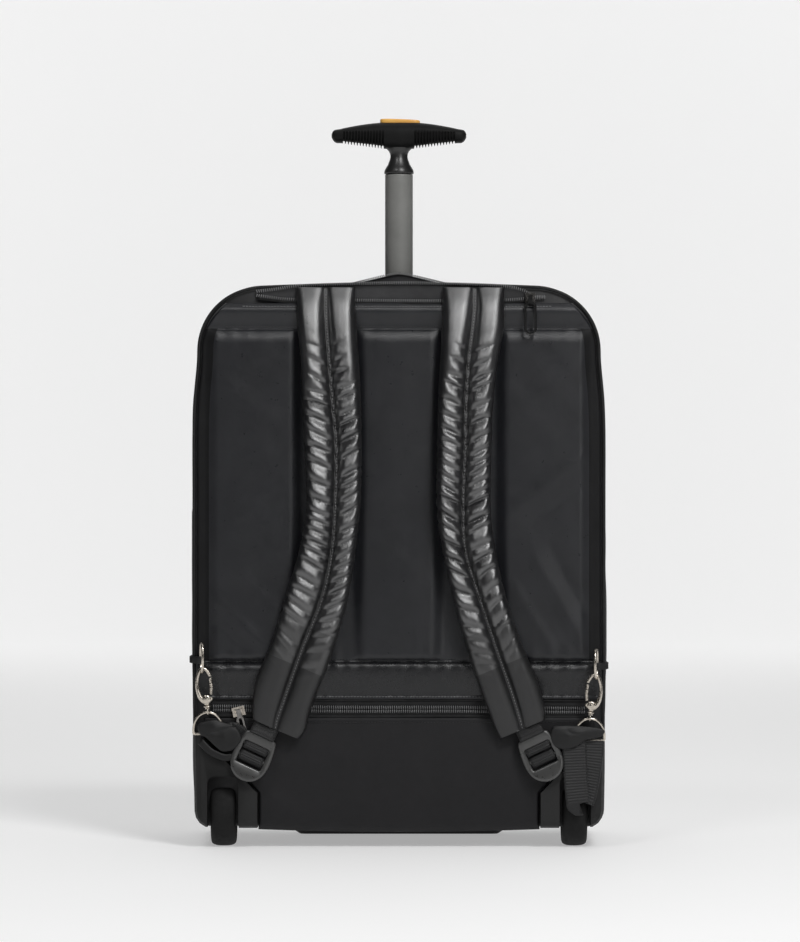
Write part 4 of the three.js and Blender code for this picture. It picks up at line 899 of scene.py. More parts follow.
stitches("panel_top_stitches", [panel_run(520.0, 150.0)], 2.0, 1.0, 0.4, light_thread, lift=0.6)
stitches("panel_seam_stitches", [panel_run(PAD_SEAM_Z + 2.2, 166.0)], 2.0, 1.2, 0.24, dark_thread)
stitches("panel_low_stitches", [panel_run(PAD_LOW_Z + 1.9, 180.0), panel_run(PAD_LOW_Z - 2.6, 180.0)],
         2.0, 1.2, 0.24, dark_thread)
stitches("panel_lip_stitches", [panel_run(144.9, 181.0)], 2.2, 0.9, 0.34, thread)
lower_run = [(x, REAR_Y - 0.3 - float(lower_height(np.array([x]), np.array([120.6]))[0]) - 0.4, 120.6)
             for x in np.arange(-180.0, 180.0, 2.0)]
stitches("lower_panel_stitches", [lower_run], 2.1, 1.0, 0.2, dark_thread)


# Coil zip teeth: a small bent bead at each step, leaning to one side
def teeth(made, path, up, pitch, long, thick, lean):
    marks = resampled(np.asarray(path, float), pitch)
    frames = path_frames(marks, False, up)
    for at, side, out in frames:
        a = at + side * (-long / 2)
        b = at + side * (long / 2)
        along = np.cross(side, out)
        made.sweep([a - out * 0.5, a + out * 0.35 + along * lean, (a + b) / 2 + out * 0.55,
                    b + out * 0.35 - along * lean, b - out * 0.5], circle(thick / 2, 6))


def zip_tape(made, path, up, width, thick):
    made.sweep(resampled(np.asarray(path, float), 4.0), flat_section(width, thick, 2), up=up)


def row_of(z0, z1, reach, y, bow=0.0):
    xs = np.linspace(-reach, reach, 60)
    return [(x, y, z0 + (z1 - z0) * (x + reach) / (2 * reach) + bow * math.sin(x / 31.0)) for x in xs]


BACK = (0.0, -1.0, 0.0)
made = Gather()
zip_tape(made, row_of(138.6, 137.6, 181.0, REAR_Y - 1.3), BACK, 11.0, 1.4)
zip_tape(made, row_of(128.6, 127.6, 181.0, REAR_Y - 1.3), BACK, 8.6, 1.4)
upper_fold = np.array(row_of(142.3, 141.6, 181.0, REAR_Y - 2.4, 0.3))
made.sweep(resampled(upper_fold, 4.0), flat_section(2.6, 1.4, 2), up=BACK)
lower_fold = np.array(row_of(126.4, 125.4, 181.0, REAR_Y - 2.9, 0.4))
made.sweep(resampled(lower_fold, 4.0), flat_section(3.4, 1.2, 2), up=BACK)
lower_tape = made.done("lower_zip_tape", tape_cloth)
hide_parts("lower_zip")
made = Gather()
teeth(made, row_of(135.6, 134.0, 178.0, REAR_Y - 2.4, 0.25), BACK, 2.1, 2.4, 0.95, 0.2)
teeth(made, row_of(131.9, 130.3, 178.0, REAR_Y - 2.4, 0.25), BACK, 2.1, 2.4, 0.95, -0.2)
piece = made.done("lower_zip_teeth", tooth_plastic_painted_highlight)

# Strap pocket zip, open: the lower row runs level, the upper row climbs to the top edge
pocket = Gather()
upper_path = through([(-136.5, REAR_Y - 3.4, 534.6), (-118.0, REAR_Y - 4.0, 536.8), (-98.0, REAR_Y - 4.4, 539.6),
                      (-60.0, REAR_Y - 4.6, 541.4), (0.0, REAR_Y - 4.6, 542.6), (60.0, REAR_Y - 4.6, 541.6),
                      (100.0, REAR_Y - 4.4, 539.6), (118.0, REAR_Y - 4.0, 536.0), (126.0, REAR_Y - 3.4, 531.6)], 3.0)
low_path = through([(-136.5, REAR_Y - 2.4, 530.6), (-118.0, REAR_Y - 2.9, 528.2),
                    (-100.0, REAR_Y - 3.2, 526.8), (0.0, REAR_Y - 3.6, 525.6),
                    (90.0, REAR_Y - 3.4, 525.8), (126.0, REAR_Y - 2.6, 528.0)], 3.0)
zip_tape(pocket, low_path - np.array([0, 0, 1.6]), BACK, 4.6, 1.0)
pocket_tape = pocket.done("pocket_zip_tape", tape_cloth)
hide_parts("strap_pocket_zip")
pocket = Gather()
teeth(pocket, upper_path, BACK, 2.1, 2.3, 0.95, 0.2)
teeth(pocket, low_path, BACK, 2.1, 2.3, 0.95, -0.2)
closed = [(x, REAR_Y - 2.6, 528.6 + 0.02 * (x - 126)) for x in np.linspace(126, 140, 8)]
teeth(pocket, closed, BACK, 1.75, 3.0, 1.1, 0.0)
piece = pocket.done("pocket_zip_teeth", tooth_plastic_painted_highlight)

# Dark lining that shows in the open mouth
lining_rows = []
for z in np.linspace(524.0, 541.0, 13):
    row = []
    for x in np.linspace(-132, 128, 90):
        share = (z - 524.0) / 17.0
        low, high = 526.0, float(np.interp(x, upper_path[:, 0], upper_path[:, 2])) - 0.3
        at = low + (high - low) * share
        sink = 0.8 + 0.7 * ridged(x, 0, z, 14.0, 3.0) + 0.4 * ridged(x, 0, z, 5.0, 9.0)
        row.append((x, REAR_Y - 0.9 - max(sink, 0.0), at))
    lining_rows.append(row)
made = Gather()
made.points = [p for row in lining_rows for p in row]
made.faces = grid_faces(len(lining_rows), 90)
lining = made.done("pocket_lining", fabric(
    "lining", (0.020, 0.020, 0.021), (0.034, 0.034, 0.036), 0.6, 0.75, weave=0.0007, Specular_IOR_Level=0.35))

# Zip over the trolley's slit: a lip that rises in a hump behind the tube, and its teeth
lip = Gather()
hump = []
for angle in np.linspace(0, 2 * math.pi, 96, endpoint=False):
    rear = math.sin(angle) < 0
    x = (SLIT_HALF + 3.3) * math.cos(angle)
    y = TUBE_Y + (SLIT_REACH + 3.3) * math.sin(angle)
    share = 1.0 if rear else 0.3
    rise = 0.8 + 10.4 * share * max(0.0, 1 - math.hypot(x, 5.0) / 46.0) ** 1.1
    lean = 0.0 if not rear else -3.2 * max(0.0, 1 - (x / 46.0) ** 2)
    hump.append((x, y, rise, lean))
rings = []
for x, y, rise, lean in hump:
    out = np.array([x / 48.8, (y - TUBE_Y) / 22.3])
    out = out / np.linalg.norm(out)
    inner = np.array([x, y]) - out * 2.6
    outer = np.array([x, y]) + out * (4.5 + 0.6 * rise)
    top = np.array([x, y]) - out * (1.2 + lean * 0.4)
    base = BODY_TOP + 2.2
    rings.append([
        (inner[0], inner[1], base - 4.0), (inner[0], inner[1], base + rise * 0.6),
        (top[0], top[1], base + rise + 0.4),
        (top[0] + out[0] * 1.6, top[1] + out[1] * 1.6, base + rise + 0.9),
        (x + out[0] * 2.2, y + out[1] * 2.2, base + rise * 0.66), (outer[0], outer[1], base + 0.2),
        (outer[0], outer[1], base - 5.0)])
lip.rings(rings, looped=True)
lip_piece = lip.done("handle_zip_lip", smooth_cloth)
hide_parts("handle_zip")
made = Gather()
rear_edge = [(r[3][0], r[3][1] - 0.9, r[3][2] + 0.7) for r, h in zip(rings, hump) if h[1] < TUBE_Y - 1.0]
front_edge = [(r[3][0], r[3][1], r[3][2] + 0.3) for r, h in zip(rings, hump) if h[1] > TUBE_Y + 1.0]
teeth(made, rear_edge, (0.0, -0.6, 0.8), 1.75, 2.3, 1.1, 0.2)
teeth(made, front_edge, (0.0, 0.3, 0.95), 1.75, 2.3, 1.1, 0.2)
piece = made.done("handle_zip_teeth", tooth_plastic_painted_highlight)

# Main zip round the gusset: two tapes beside the teeth
main_y = REAR_Y + 0.66 * BODY_DEPTH
main_path = resampled(ordered_above([(x, main_y, z) for x, z in bag_outline(1.6)], 149.0), 3.0)
middle = np.array([0.0, main_y, 300.0])
made = Gather()
tooth_rows = Gather()
for offset in (-3.4, 3.4):
    tape = []
    for p in main_path:
        tape.append(p + np.array([0, offset, 0]))
    tape = np.array(tape)
    tangent = np.gradient(tape, axis=0)
    tangent /= np.linalg.norm(tangent, axis=1)[:, None]
    side = np.array([0.0, 1.0, 0.0])
    rows = []
    for p, t in zip(tape, tangent):
        out = np.cross(side, t)
        out = out * np.sign(np.dot(out, p - middle))
        rows.append([p + side * a + out * b for a, b in flat_section(5.2, 1.0, 2)])
    made.rings(rows)
    for p, t in zip(tape, tangent):
        out = np.cross(side, t)
        out = out * np.sign(np.dot(out, p - middle))
        c = p - side * (offset * 0.66)
        a = c - side * 1.1
        b = c + side * 1.1
        tooth_rows.sweep([a, a + out * 0.7, b + out * 0.7, b], circle(0.75, 5))
main_tape = made.done("main_zip_tape", tape_cloth)
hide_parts("main_zip")
piece = tooth_rows.done("main_zip_teeth", tooth_plastic_painted_highlight)


# Body turned round an upright line; the sections may be oval
def turned(name, profile, centre_x, centre_y, material, body, sides=72, axis="z", oval=None):
    rings = []
    for k, (r, h) in enumerate(profile):
        rx = r if oval is None else oval[k]
        ring = []
        for i in range(sides):
            angle = 2 * math.pi * i / sides
            ring.append((centre_x + rx * math.cos(angle), centre_y + r * math.sin(angle), h))
        rings.append(ring)
    return Gather().rings(rings).done(name, material, body)


tube_rings = [(12.0, TUBE_BASE), (13.5, TUBE_BASE + 0.6)]
tube_rings += [(13.5, z) for z in np.linspace(TUBE_BASE + 6, TUBE_TOP - 2, 30)]
tube_rings += [(13.5, TUBE_TOP - 0.6), (12.9, TUBE_TOP), (8.0, TUBE_TOP)]
piece = turned("trolley_tube", tube_rings, 0.0, TUBE_Y, anodised, "handle")
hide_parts("inner_tube")

neck_rows = [
    (12.6, 650.3), (14.0, 650.6), (14.4, 651.4), (14.4, 652.6), (13.9, 654.4), (12.6, 656.8), (10.8, 659.6),
    (9.9, 662.2), (8.9, 664.6), (8.4, 667.0), (8.3, 670.0), (8.5, 672.6), (9.2, 675.0), (10.4, 677.0), (11.8, 679.0),
    (12.4, 681.0),
]
neck_oval = [r for r, z in neck_rows[:10]] + [8.6, 9.8, 12.0, 14.2, 15.4, 16.0]
piece = turned("handle_stem", neck_rows, 0.0, TUBE_Y, neck_plastic, "handle", oval=neck_oval)
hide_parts("handle_neck")

# Grip: an arched bar whose lower faces are cut in ribs on both sides of the stem
GRIP_TOP_ROWS = [(0.0, 700.6), (20.0, 700.2), (44.0, 697.0), (58.0, 694.0), (64.0, 692.2), (65.6, 690.0)]
GRIP_LOW_ROWS = [(0.0, 674.6), (14.0, 675.4), (34.0, 677.8), (56.0, 680.8), (63.0, 682.2), (65.6, 685.6)]
GRIP_DEEP_ROWS = [(0.0, 16.0), (30.0, 15.0), (52.0, 13.0), (60.0, 12.0), (64.0, 9.6), (65.6, 6.0)]
RIB_PITCH = 2.9
RIB_START = 14.2
RIB_END = 54.4


def grip_rings():
    rings = []
    xs = sorted(set(np.round(np.concatenate([
        np.arange(-RIB_END - 1, RIB_END + 1, 0.3625), [-65.4, -65.0, -64.2, -62.8, -60.6, -57.5, 57.5, 60.6, 62.8,
                                                       64.2, 65.0, 65.4]]), 4)))
    for x in xs:
        far = abs(x)
        top = float(curve_at(GRIP_TOP_ROWS, far))
        low = float(curve_at(GRIP_LOW_ROWS, far))
        deep = float(curve_at(GRIP_DEEP_ROWS, far))
        if far > 64.5:
            shrink = math.sqrt(max(0.0, 1 - ((far - 64.0) / 1.6) ** 2)) * 0.55 + 0.45
        else:
            shrink = 1.0
        middle = (top + low) / 2
        half = (top - low) / 2 * shrink
        notch = 0.0
        if RIB_START < far < RIB_END:
            phase = ((far - RIB_START) / RIB_PITCH) % 1.0
            notch = float(smooth_step(0.18, 0.34, phase) * smooth_step(0.96, 0.8, phase))
        ring = []
        for i in range(44):
            angle = 2 * math.pi * i / 44
            c, s = math.cos(angle), math.sin(angle)
            y = deep * shrink * math.copysign(abs(c) ** 0.72, c)
            z = middle + half * math.copysign(abs(s) ** 0.8, s)
            cut = notch * float(smooth_step(691.2, 689.4, z))
            fall = float(smooth_step(690.0, 676.0, z))
            y *= 1 - cut * 0.16
            z += cut * (0.8 + 1.9 * fall)
            ring.append((x, TUBE_Y + y, z))
        rings.append(ring)
    return rings


grip = Gather().rings(grip_rings()).done("grip", grip_plastic, "handle")
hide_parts("handle_grip")

rings = []
for share, z_off in ((0.2, -3.0), (1.0, -3.0), (1.0, 2.6), (0.985, 3.2), (0.95, 3.5), (0.6, 3.6), (0.2, 3.6)):
    ring = []
    for i in range(64):
        angle = 2 * math.pi * i / 64
        x = 19.4 * share * math.copysign(abs(math.cos(angle)) ** 0.35, math.cos(angle))
        y = 6.4 * share * math.copysign(abs(math.sin(angle)) ** 0.8, math.sin(angle))
        ring.append((x + 1.1, TUBE_Y + y, 700.2 + z_off - 0.0008 * x * x - 0.036 * x))
    rings.append(ring)
button = Gather().rings(rings).done("button", button_plastic, "button")
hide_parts("release_button")

# Wheels: tyres with rounded shoulders and a fine mould line, hubs with ribs
TYRE_PROFILE = [
    (21.4, -8.4), (23.5, -9.6), (26.2, -11.2), (28.6, -12.0), (30.4, -11.4), (31.8, -9.6), (32.6, -7.0),
    (32.95, -3.6), (33.0, -0.5), (33.06, 0.0), (33.0, 0.5), (32.95, 3.6), (32.6, 7.0), (31.8, 9.6), (30.4, 11.4),
    (28.6, 12.0), (26.2, 11.2), (23.5, 9.6), (21.4, 8.4),
]
HUB_PROFILE = [
    (3.9, -11.0), (8.6, -11.0), (9.2, -10.2), (9.7, -5.4), (16.6, -5.2), (17.2, -5.6), (20.6, -7.8), (20.8, -7.4),
    (20.8, 7.4), (20.6, 7.8), (17.2, 5.6), (16.6, 5.2), (9.7, 5.4), (9.2, 10.2), (8.6, 11.0), (3.9, 11.0),
]


def around_x(profile, x, y, z, sides):
    rings = []
    for i in range(sides):
        angle = 2 * math.pi * i / sides
        rings.append([(x + w, y + r * math.cos(angle), z + r * math.sin(angle)) for r, w in profile])
    return rings


for side, label in ((-1, "left"), (1, "right")):
    body = f"wheel_{label}"
    tyre = Gather().rings(around_x(TYRE_PROFILE, side * 169.0, -62.0, 33.0, 96), looped=True)
    piece = tyre.done(f"tyre_tread_{label}", tyre_rubber, body)
    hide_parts(f"tyre_{label}")
    hub = Gather().rings(around_x(HUB_PROFILE, side * 169.0, -62.0, 33.0, 72), looped=True)
    for k in range(6):
        angle = 2 * math.pi * k / 6
        out = np.array([0.0, math.cos(angle), math.sin(angle)])
        cross = np.array([0.0, -math.sin(angle), math.cos(angle)])
        for face in (-1, 1):
            rib = []
            for r in (9.4, 13.0, 17.2, 20.0):
                at = np.array([side * 169.0, -62.0, 33.0]) + out * r
                high = 8.4 - 0.22 * (r - 9.4)
                rib.append([at + cross * a + np.array([face * b, 0, 0])
                            for a, b in ((-1.3, 4.6), (-0.9, high), (0.9, high), (1.3, 4.6))])
            hub.rings(rib)
    piece = hub.done(f"wheel_hub_{label}", grip_plastic, body)
    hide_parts(f"hub_{label}")


# Corner hardware, as placed in the CAD source
HOOK_X, HOOK_Y, HOOK_Z = 188.0, -102.6, 174.7
HOOK_LENGTH, HOOK_WIDTH, HOOK_LEAN = 36.0, 19.0, 0.12
SIDE_RING_X, SIDE_RING_Z, SIDE_RING_TURN = 188.8, 180.5, 1.42
LOCK_X, LOCK_Y, LOCK_Z, LOCK_LEAN = 138.0, -101.0, 88.9, 0.44


# Webbing strip with cross ribs along its path
def ribbed(made, points, up, width, thick=2.0, pitch=1.7, depth=0.45, steps=8, across=None):
    path = through(points, pitch / 4)
    frames = path_frames(path, False, up)
    if across is not None:
        along = np.gradient(path, axis=0)
        along /= np.linalg.norm(along, axis=1)[:, None]
        frames = [(at, np.asarray(across, float), np.cross(t, across)) for at, t in zip(path, along)]
    rings = []
    for k, (at, side, out) in enumerate(frames):
        rib = 1.0 + depth * math.cos(2 * math.pi * k / 4)
        ends = min(1.0, 0.6 + 0.1 * min(k, len(frames) - 1 - k))
        rings.append([at + side * a + out * b * rib * ends for a, b in flat_section(width, thick, steps)])
    made.rings(rings)
    return made


# Soft flat piece with a rounded edge; points in x and z, seen from behind
def leaf(made, points, y, thick, bulge, seed, fold=0.6):
    outline = through([(x, 0.0, z) for x, z in points], 1.1, looped=True)
    middle = outline.mean(axis=0)
    rings = []
    for share, depth in ((0.97, 1.0), (1.0, 0.5), (0.985, 0.1), (0.95, -0.12), (0.88, -0.25), (0.76, -0.42),
                         (0.6, -0.6), (0.42, -0.75), (0.22, -0.9), (0.08, -1.0)):
        ring = middle + (outline - middle) * share
        lift = np.array([fold * ridged(x, 0.0, z, 9.0, seed) for x, _, z in ring])
        front = depth * thick / 2 if depth > 0 else depth * bulge
        ring[:, 1] = y + front + lift * (1 - share**6)
        rings.append(ring)
    back = middle + (outline - middle) * 0.9
    back[:, 1] = y + thick
    rings.insert(0, back)
    made.rings(rings)
    return made


# Places points of the hook's own frame; its gate faces the middle of the bag
def hook_place(points, side, drop):
    p = np.array(points, float)
    if side > 0:
        p[:, :2] *= -1
    turn = side * HOOK_LEAN
    x = p[:, 0] * math.cos(turn) + p[:, 2] * math.sin(turn)
    z = p[:, 2] * math.cos(turn) - p[:, 0] * math.sin(turn)
    return np.stack([x + side * HOOK_X, p[:, 1] + HOOK_Y, z + HOOK_Z - drop], axis=1)


def hook_oval(angle):
    across = (HOOK_WIDTH - 4.0) / 2
    rise = (HOOK_LENGTH - 4.0) / 2
    taper = 1.0 - 0.1 * max(0.0, math.sin(angle))
    return (across * taper * math.cos(angle), 0.0, rise * math.sin(angle) - HOOK_LENGTH / 2)


def turned_along(made, rows, middle, axis, sides=20):
    axis = np.asarray(axis, float)
    axis = axis / np.linalg.norm(axis)
    first = np.cross(axis, (0.0, 1.0, 0.0) if abs(axis[1]) < 0.9 else (1.0, 0.0, 0.0))
    first = first / np.linalg.norm(first)
    second = np.cross(axis, first)
    rings = []
    for radius, along in rows:
        start = np.asarray(middle, float) + axis * along
        rings.append([start + first * radius * math.cos(a) + second * radius * math.sin(a)
                      for a in np.linspace(0, 2 * math.pi, sides, endpoint=False)])
    made.rings(rings)
    return made


def corner_metal(side, label, drop):
    made = Gather()
    turn = side * SIDE_RING_TURN
    loop = []
    for angle in np.linspace(0, 2 * math.pi, 56, endpoint=False):
        c, s = math.cos(angle), math.sin(angle)
        u = 9.6 * math.copysign(abs(c) ** 0.8, c)
        w = 2.5 + 13.9 * math.copysign(abs(s) ** 0.8, s)
        loop.append((side * SIDE_RING_X + u * math.cos(turn), HOOK_Y + u * math.sin(turn), SIDE_RING_Z - drop + w))
    made.sweep(loop, circle(1.35, 14), looped=True)
    piece = made.done(f"side_ring_{label}_wire", nickel)
    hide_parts(f"side_ring_{label}")

    made = Gather()
    angles = np.linspace(0.5, 2 * math.pi - 0.85, 54)
    path = hook_place([hook_oval(a) for a in angles], side, drop)
    sizes = [0.82 + 0.34 * float(smooth_step(0.3, -0.9, math.sin(a))) + 0.06 * math.cos(3 * a) for a in angles]
    sizes[0] *= 0.8
    made.sweep(path, circle(2.05, 16), scale=sizes)
    knuckle, stem = hook_place([(0, 0, -31.6), (0, 0, -36.0)], side, drop)
    disc = [(2.6, -3.0), (3.9, -2.7), (4.3, -2.1), (4.3, 2.1), (3.9, 2.7), (2.6, 3.0)]
    turned_along(made, disc, knuckle, (0, 1, 0), 28)
    turned_along(made, [(1.3, -3.5), (1.6, -3.3), (1.6, 3.3), (1.3, 3.5)], knuckle, (0, 1, 0), 14)
    down = hook_place([(0, 0, -1.0)], side, drop)[0] - hook_place([(0, 0, 0)], side, drop)[0]
    turned_along(made, [(2.0, -2.6), (2.6, -2.0), (2.6, 0.6), (2.2, 1.0)], stem, down)
    piece = made.done(f"snap_hook_{label}_body", nickel)
    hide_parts(f"snap_hook_{label}")

    made = Gather()
    foot, tip = (np.array(hook_oval(a)) for a in (-0.85, 0.5))
    along = (tip - foot) / np.linalg.norm(tip - foot)
    belly = (foot + tip) / 2 + np.array([0.5, 0, 0])
    spots = [foot + along * 2.6, foot + along * 4.6, belly, tip - along * 3.4, tip - along * 1.4]
    path = resampled(hook_place(spots, side, drop), 0.5)
    sizes = [1.0 + 0.16 * (0.5 + 0.5 * math.cos(2 * math.pi * k / 4)) * (8 < k < len(path) - 10)
             for k in range(len(path))]
    made.sweep(path, circle(1.4, 14), scale=sizes)
    piece = made.done(f"hook_gate_{label}_bar", nickel, f"gate_{label}")
    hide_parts(f"hook_gate_{label}")

    made = Gather()
    head = hook_place([(0, 0, -37.3)], side, drop)[0]
    swivel = [(2.4, 0.0), (3.3, 0.4), (3.5, 1.0), (3.3, 1.7), (2.5, 2.1), (2.1, 2.8), (2.5, 3.4), (1.6, 4.0)]
    turned_along(made, swivel, head, down)
    turns = np.linspace(0, 2 * math.pi, 26, endpoint=False)
    eye = hook_place([(0, 3.2 * math.cos(a), -43.2 + 3.0 * math.sin(a)) for a in turns], side, drop)
    made.sweep(eye, circle(0.95, 12), looped=True)
    piece = made.done(f"hook_swivel_{label}_eye", nickel)
    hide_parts(f"hook_swivel_{label}")

    made = Gather()
    ring = [(14.0 * math.cos(a), 20.0 * math.sin(a) ** 0.8) for a in np.linspace(0.0, math.pi, 34)]
    ring += [(-13.6, -0.7), (-12.0, -1.0)] + [(u, -1.0) for u in np.linspace(-9, 9, 7)] + [(12.0, -1.0), (13.6, -0.7)]
    base = HOOK_Z - drop - 63.8
    made.sweep([(side * 182.8 + u, HOOK_Y - 0.6 + 4.6 * (1 - w / 20.0), base + w) for u, w in ring], circle(1.3, 14),
               looped=True)
    piece = made.done(f"strap_ring_{label}_wire", nickel)
    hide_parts(f"strap_ring_{label}")

    made = Gather()
    z = SIDE_RING_Z - drop
    bar_x, bar_y = SIDE_RING_X + 9.6 * math.cos(SIDE_RING_TURN), HOOK_Y + 9.6 * math.sin(SIDE_RING_TURN)
    spots = [(199.9, -50.0, z), (200.0, -66.0, z), (199.8, -80.0, z)]
    spots += [(bar_x + 2.7 * math.cos(a), bar_y - 2.7 * math.sin(a), z) for a in np.linspace(0.2, math.pi - 0.1, 7)]
    ribbed(made, [(side * x, y, h) for x, y, h in spots], BACK, 7.0, across=(0.0, 0.0, 1.0))
    piece = made.done(f"side_tab_{label}_webbing", webbing)
    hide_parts(f"side_tab_{label}")


for side, label, drop in ((-1, "left", 0.0), (1, "right", RIGHT_DROP)):
    corner_metal(side, label, drop)


# Ladder lock in its own frame: across, outward and toward the strap
def at_lock(points, side, shift):
    p = np.array(points, float)
    turn = -side * LOCK_LEAN
    u = p[:, 0] * -side
    x = u * math.cos(turn) + p[:, 2] * math.sin(turn)
    z = p[:, 2] * math.cos(turn) - u * math.sin(turn)
    return np.stack([x + side * (LOCK_X + shift), p[:, 1] + LOCK_Y, z + LOCK_Z], axis=1)


LOCK_HALF_ROWS = [(-25.0, 0.0), (-24.6, 4.0), (-23.0, 8.4), (-19.5, 13.0), (-13.0, 17.0), (-4.0, 18.6), (8.0, 17.9),
                  (16.5, 16.4), (19.8, 15.2), (21.4, 12.6), (21.8, 9.0), (21.8, 0.0)]
WINDOW_HALF, WINDOW_LOW, WINDOW_HIGH = 12.9, -10.2, 11.6


# Distance from the window's middle to an outline in one direction
def ray_reach(outline, origin, angle):
    direction = np.array([math.cos(angle), math.sin(angle)])
    best = 0.0
    for a, b in zip(outline, np.roll(outline, -1, axis=0)):
        edge = b - a
        cross = direction[0] * edge[1] - direction[1] * edge[0]
        if abs(cross) < 1e-9:
            continue
        off = a - origin
        t = (off[0] * edge[1] - off[1] * edge[0]) / cross
        s = (off[0] * direction[1] - off[1] * direction[0]) / cross
        if t > 0 and -1e-6 <= s <= 1 + 1e-6:
            best = max(best, t)
    return best


def lock_frame():
    rows = np.array(LOCK_HALF_ROWS)
    right = through([(u, 0.0, v) for v, u in rows], 1.0)[:, [0, 2]]
    outline = np.concatenate([right, right[1:-1][::-1] * (-1, 1)])
    window = []
    corner = 2.0
    for cu, cv, start in ((1, 1, 0.0), (-1, 1, 0.5), (-1, -1, 1.0), (1, -1, 1.5)):
        middle_u = cu * (WINDOW_HALF - corner)
        middle_v = (WINDOW_HIGH - corner) if cv > 0 else (WINDOW_LOW + corner)
        for a in np.linspace(start * math.pi, (start + 0.5) * math.pi, 6):
            window.append((middle_u + corner * math.cos(a), middle_v + corner * math.sin(a)))
    window = np.array(window)
    origin = np.array([0.0, 0.6])
    angles = np.linspace(0, 2 * math.pi, 132, endpoint=False)
    outer = [ray_reach(outline, origin, a) for a in angles]
    inner = [ray_reach(window, origin, a) for a in angles]
    return origin, angles, np.array(outer), np.array(inner)


def ladder_lock(side, label, shift):
    origin, angles, outer, inner = lock_frame()
    rings = []
    for which, change, y in ((outer, -0.8, 2.5), (outer, 0.0, 1.4), (outer, 0.0, -1.0), (outer, -0.45, -1.9),
                             (outer, -1.3, -2.45), (outer, -2.6, -2.6), (inner, 1.5, -2.35), (inner, 0.6, -2.1),
                             (inner, 0.0, -1.2), (inner, 0.0, 1.6), (inner, 0.8, 2.5)):
        ring = []
        for angle, reach in zip(angles, which):
            u = origin[0] + math.cos(angle) * (reach + change)
            v = origin[1] + math.sin(angle) * (reach + change)
            bow = -1.2 * float(smooth_step(-9, -20, v)) + 0.05 * v * (v < -8)
            ring.append((u, y + bow, v))
        rings.append(at_lock(ring, side, shift))
    made = Gather().rings(rings, looped=True)
    for v in (13.2, 1.2):
        bar = [(u, 0.4, v - 4.0) for u in np.linspace(-13.4, 13.4, 8)]
        made.sweep(at_lock(bar, side, shift), circle(1.5, 12))
    nub = [(12.6, -1.2, -1.2), (10.9, -1.3, -1.4)]
    made.sweep(at_lock(nub, side, shift), circle(1.5, 12))
    piece = made.done(f"ladder_lock_{label}_frame", lock_plastic)
    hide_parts(f"ladder_lock_{label}")

    made = Gather()
    out = tuple(at_lock([(0, -1, 0)], side, shift)[0] - at_lock([(0, 0, 0)], side, shift)[0])
    strap = [(0, 2.2, 34.0), (0, 0.6, 27.5), (0, -2.6, 23.6), (0, -2.3, 20.4), (0, 2.9, 17.0), (0, 2.6, 12.6),
             (0, -0.9, 11.2), (0, -2.3, 9.2), (0, -2.2, 6.6), (0, 0.4, 4.6)]
    ribbed(made, at_lock(strap[:4], side, shift), out, 25.0)
    ribbed(made, at_lock(strap[5:], side, shift), out, 24.4)
    piece = made.done(f"strap_webbing_{label}_ribs", webbing)
    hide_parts(f"strap_webbing_{label}")
    return out


left_out = ladder_lock(-1, "left", 2.4)
right_out = ladder_lock(1, "right", -1.6)


# Adjusting webbing: over the middle bar, then behind the lock and across to the leather tab
def adjusting(side, label, shift, out, ribbon, loops):
    made = Gather()
    over = [(0, 2.6, 1.6), (0, -0.6, 0.9), (0, -2.2, -0.8), (0, -2.1, -3.6), (0, -0.4, -5.8), (0, 2.4, -7.4)]
    ribbed(made, at_lock(over, side, shift), out, 24.4)
    ribbed(made, ribbon, BACK, 15.0, thick=1.8)
    for points, width in loops:
        ribbed(made, points, BACK, width, thick=2.0, pitch=2.7, depth=0.42, steps=10)
    piece = made.done(f"adjust_webbing_{label}_ribs", webbing)
    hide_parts(f"adjust_webbing_{label}")


adjusting(-1, "left", 2.4, left_out, [(-139.0, -97.4, 92.0), (-147.0, -97.6, 105.0), (-158.0, -99.6, 113.5),
                                      (-166.0, -100.4, 112.0)], [])
loop_front = [(167.5, -100.6, 104.0), (168.4, -101.4, 84.0), (169.6, -103.6, 62.0), (171.0, -104.4, 48.0),
              (171.6, -103.2, 43.4), (172.6, -100.4, 43.2)]
loop_back = [(186.4, -98.6, 106.0), (185.6, -98.8, 88.0), (182.2, -99.0, 66.0), (178.8, -99.2, 50.0),
             (176.8, -99.8, 44.6)]
adjusting(1, "right", -1.6, right_out, [(140.0, -97.4, 92.0), (150.0, -97.8, 101.0), (160.0, -99.4, 107.5),
                                        (170.0, -100.2, 106.0)], [(loop_front, 23.0), (loop_back, 20.0)])


# Leather tabs: the upper fold holds the ring and the lower flap is sewn over the webbing's end
def leather_tab(label, upper, lower, strip, strip_width, seed):
    made = Gather()
    leaf(made, upper, -103.6, 3.6, 2.2, seed)
    leaf(made, lower, -104.2, 2.6, 2.0, seed + 3)
    if strip:
        made.sweep(through(strip, 1.0), flat_section(strip_width, 2.6, 4), up=BACK)
    piece = made.done(f"strap_tab_{label}_leather", tab_leather)
    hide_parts(f"strap_tab_{label}")


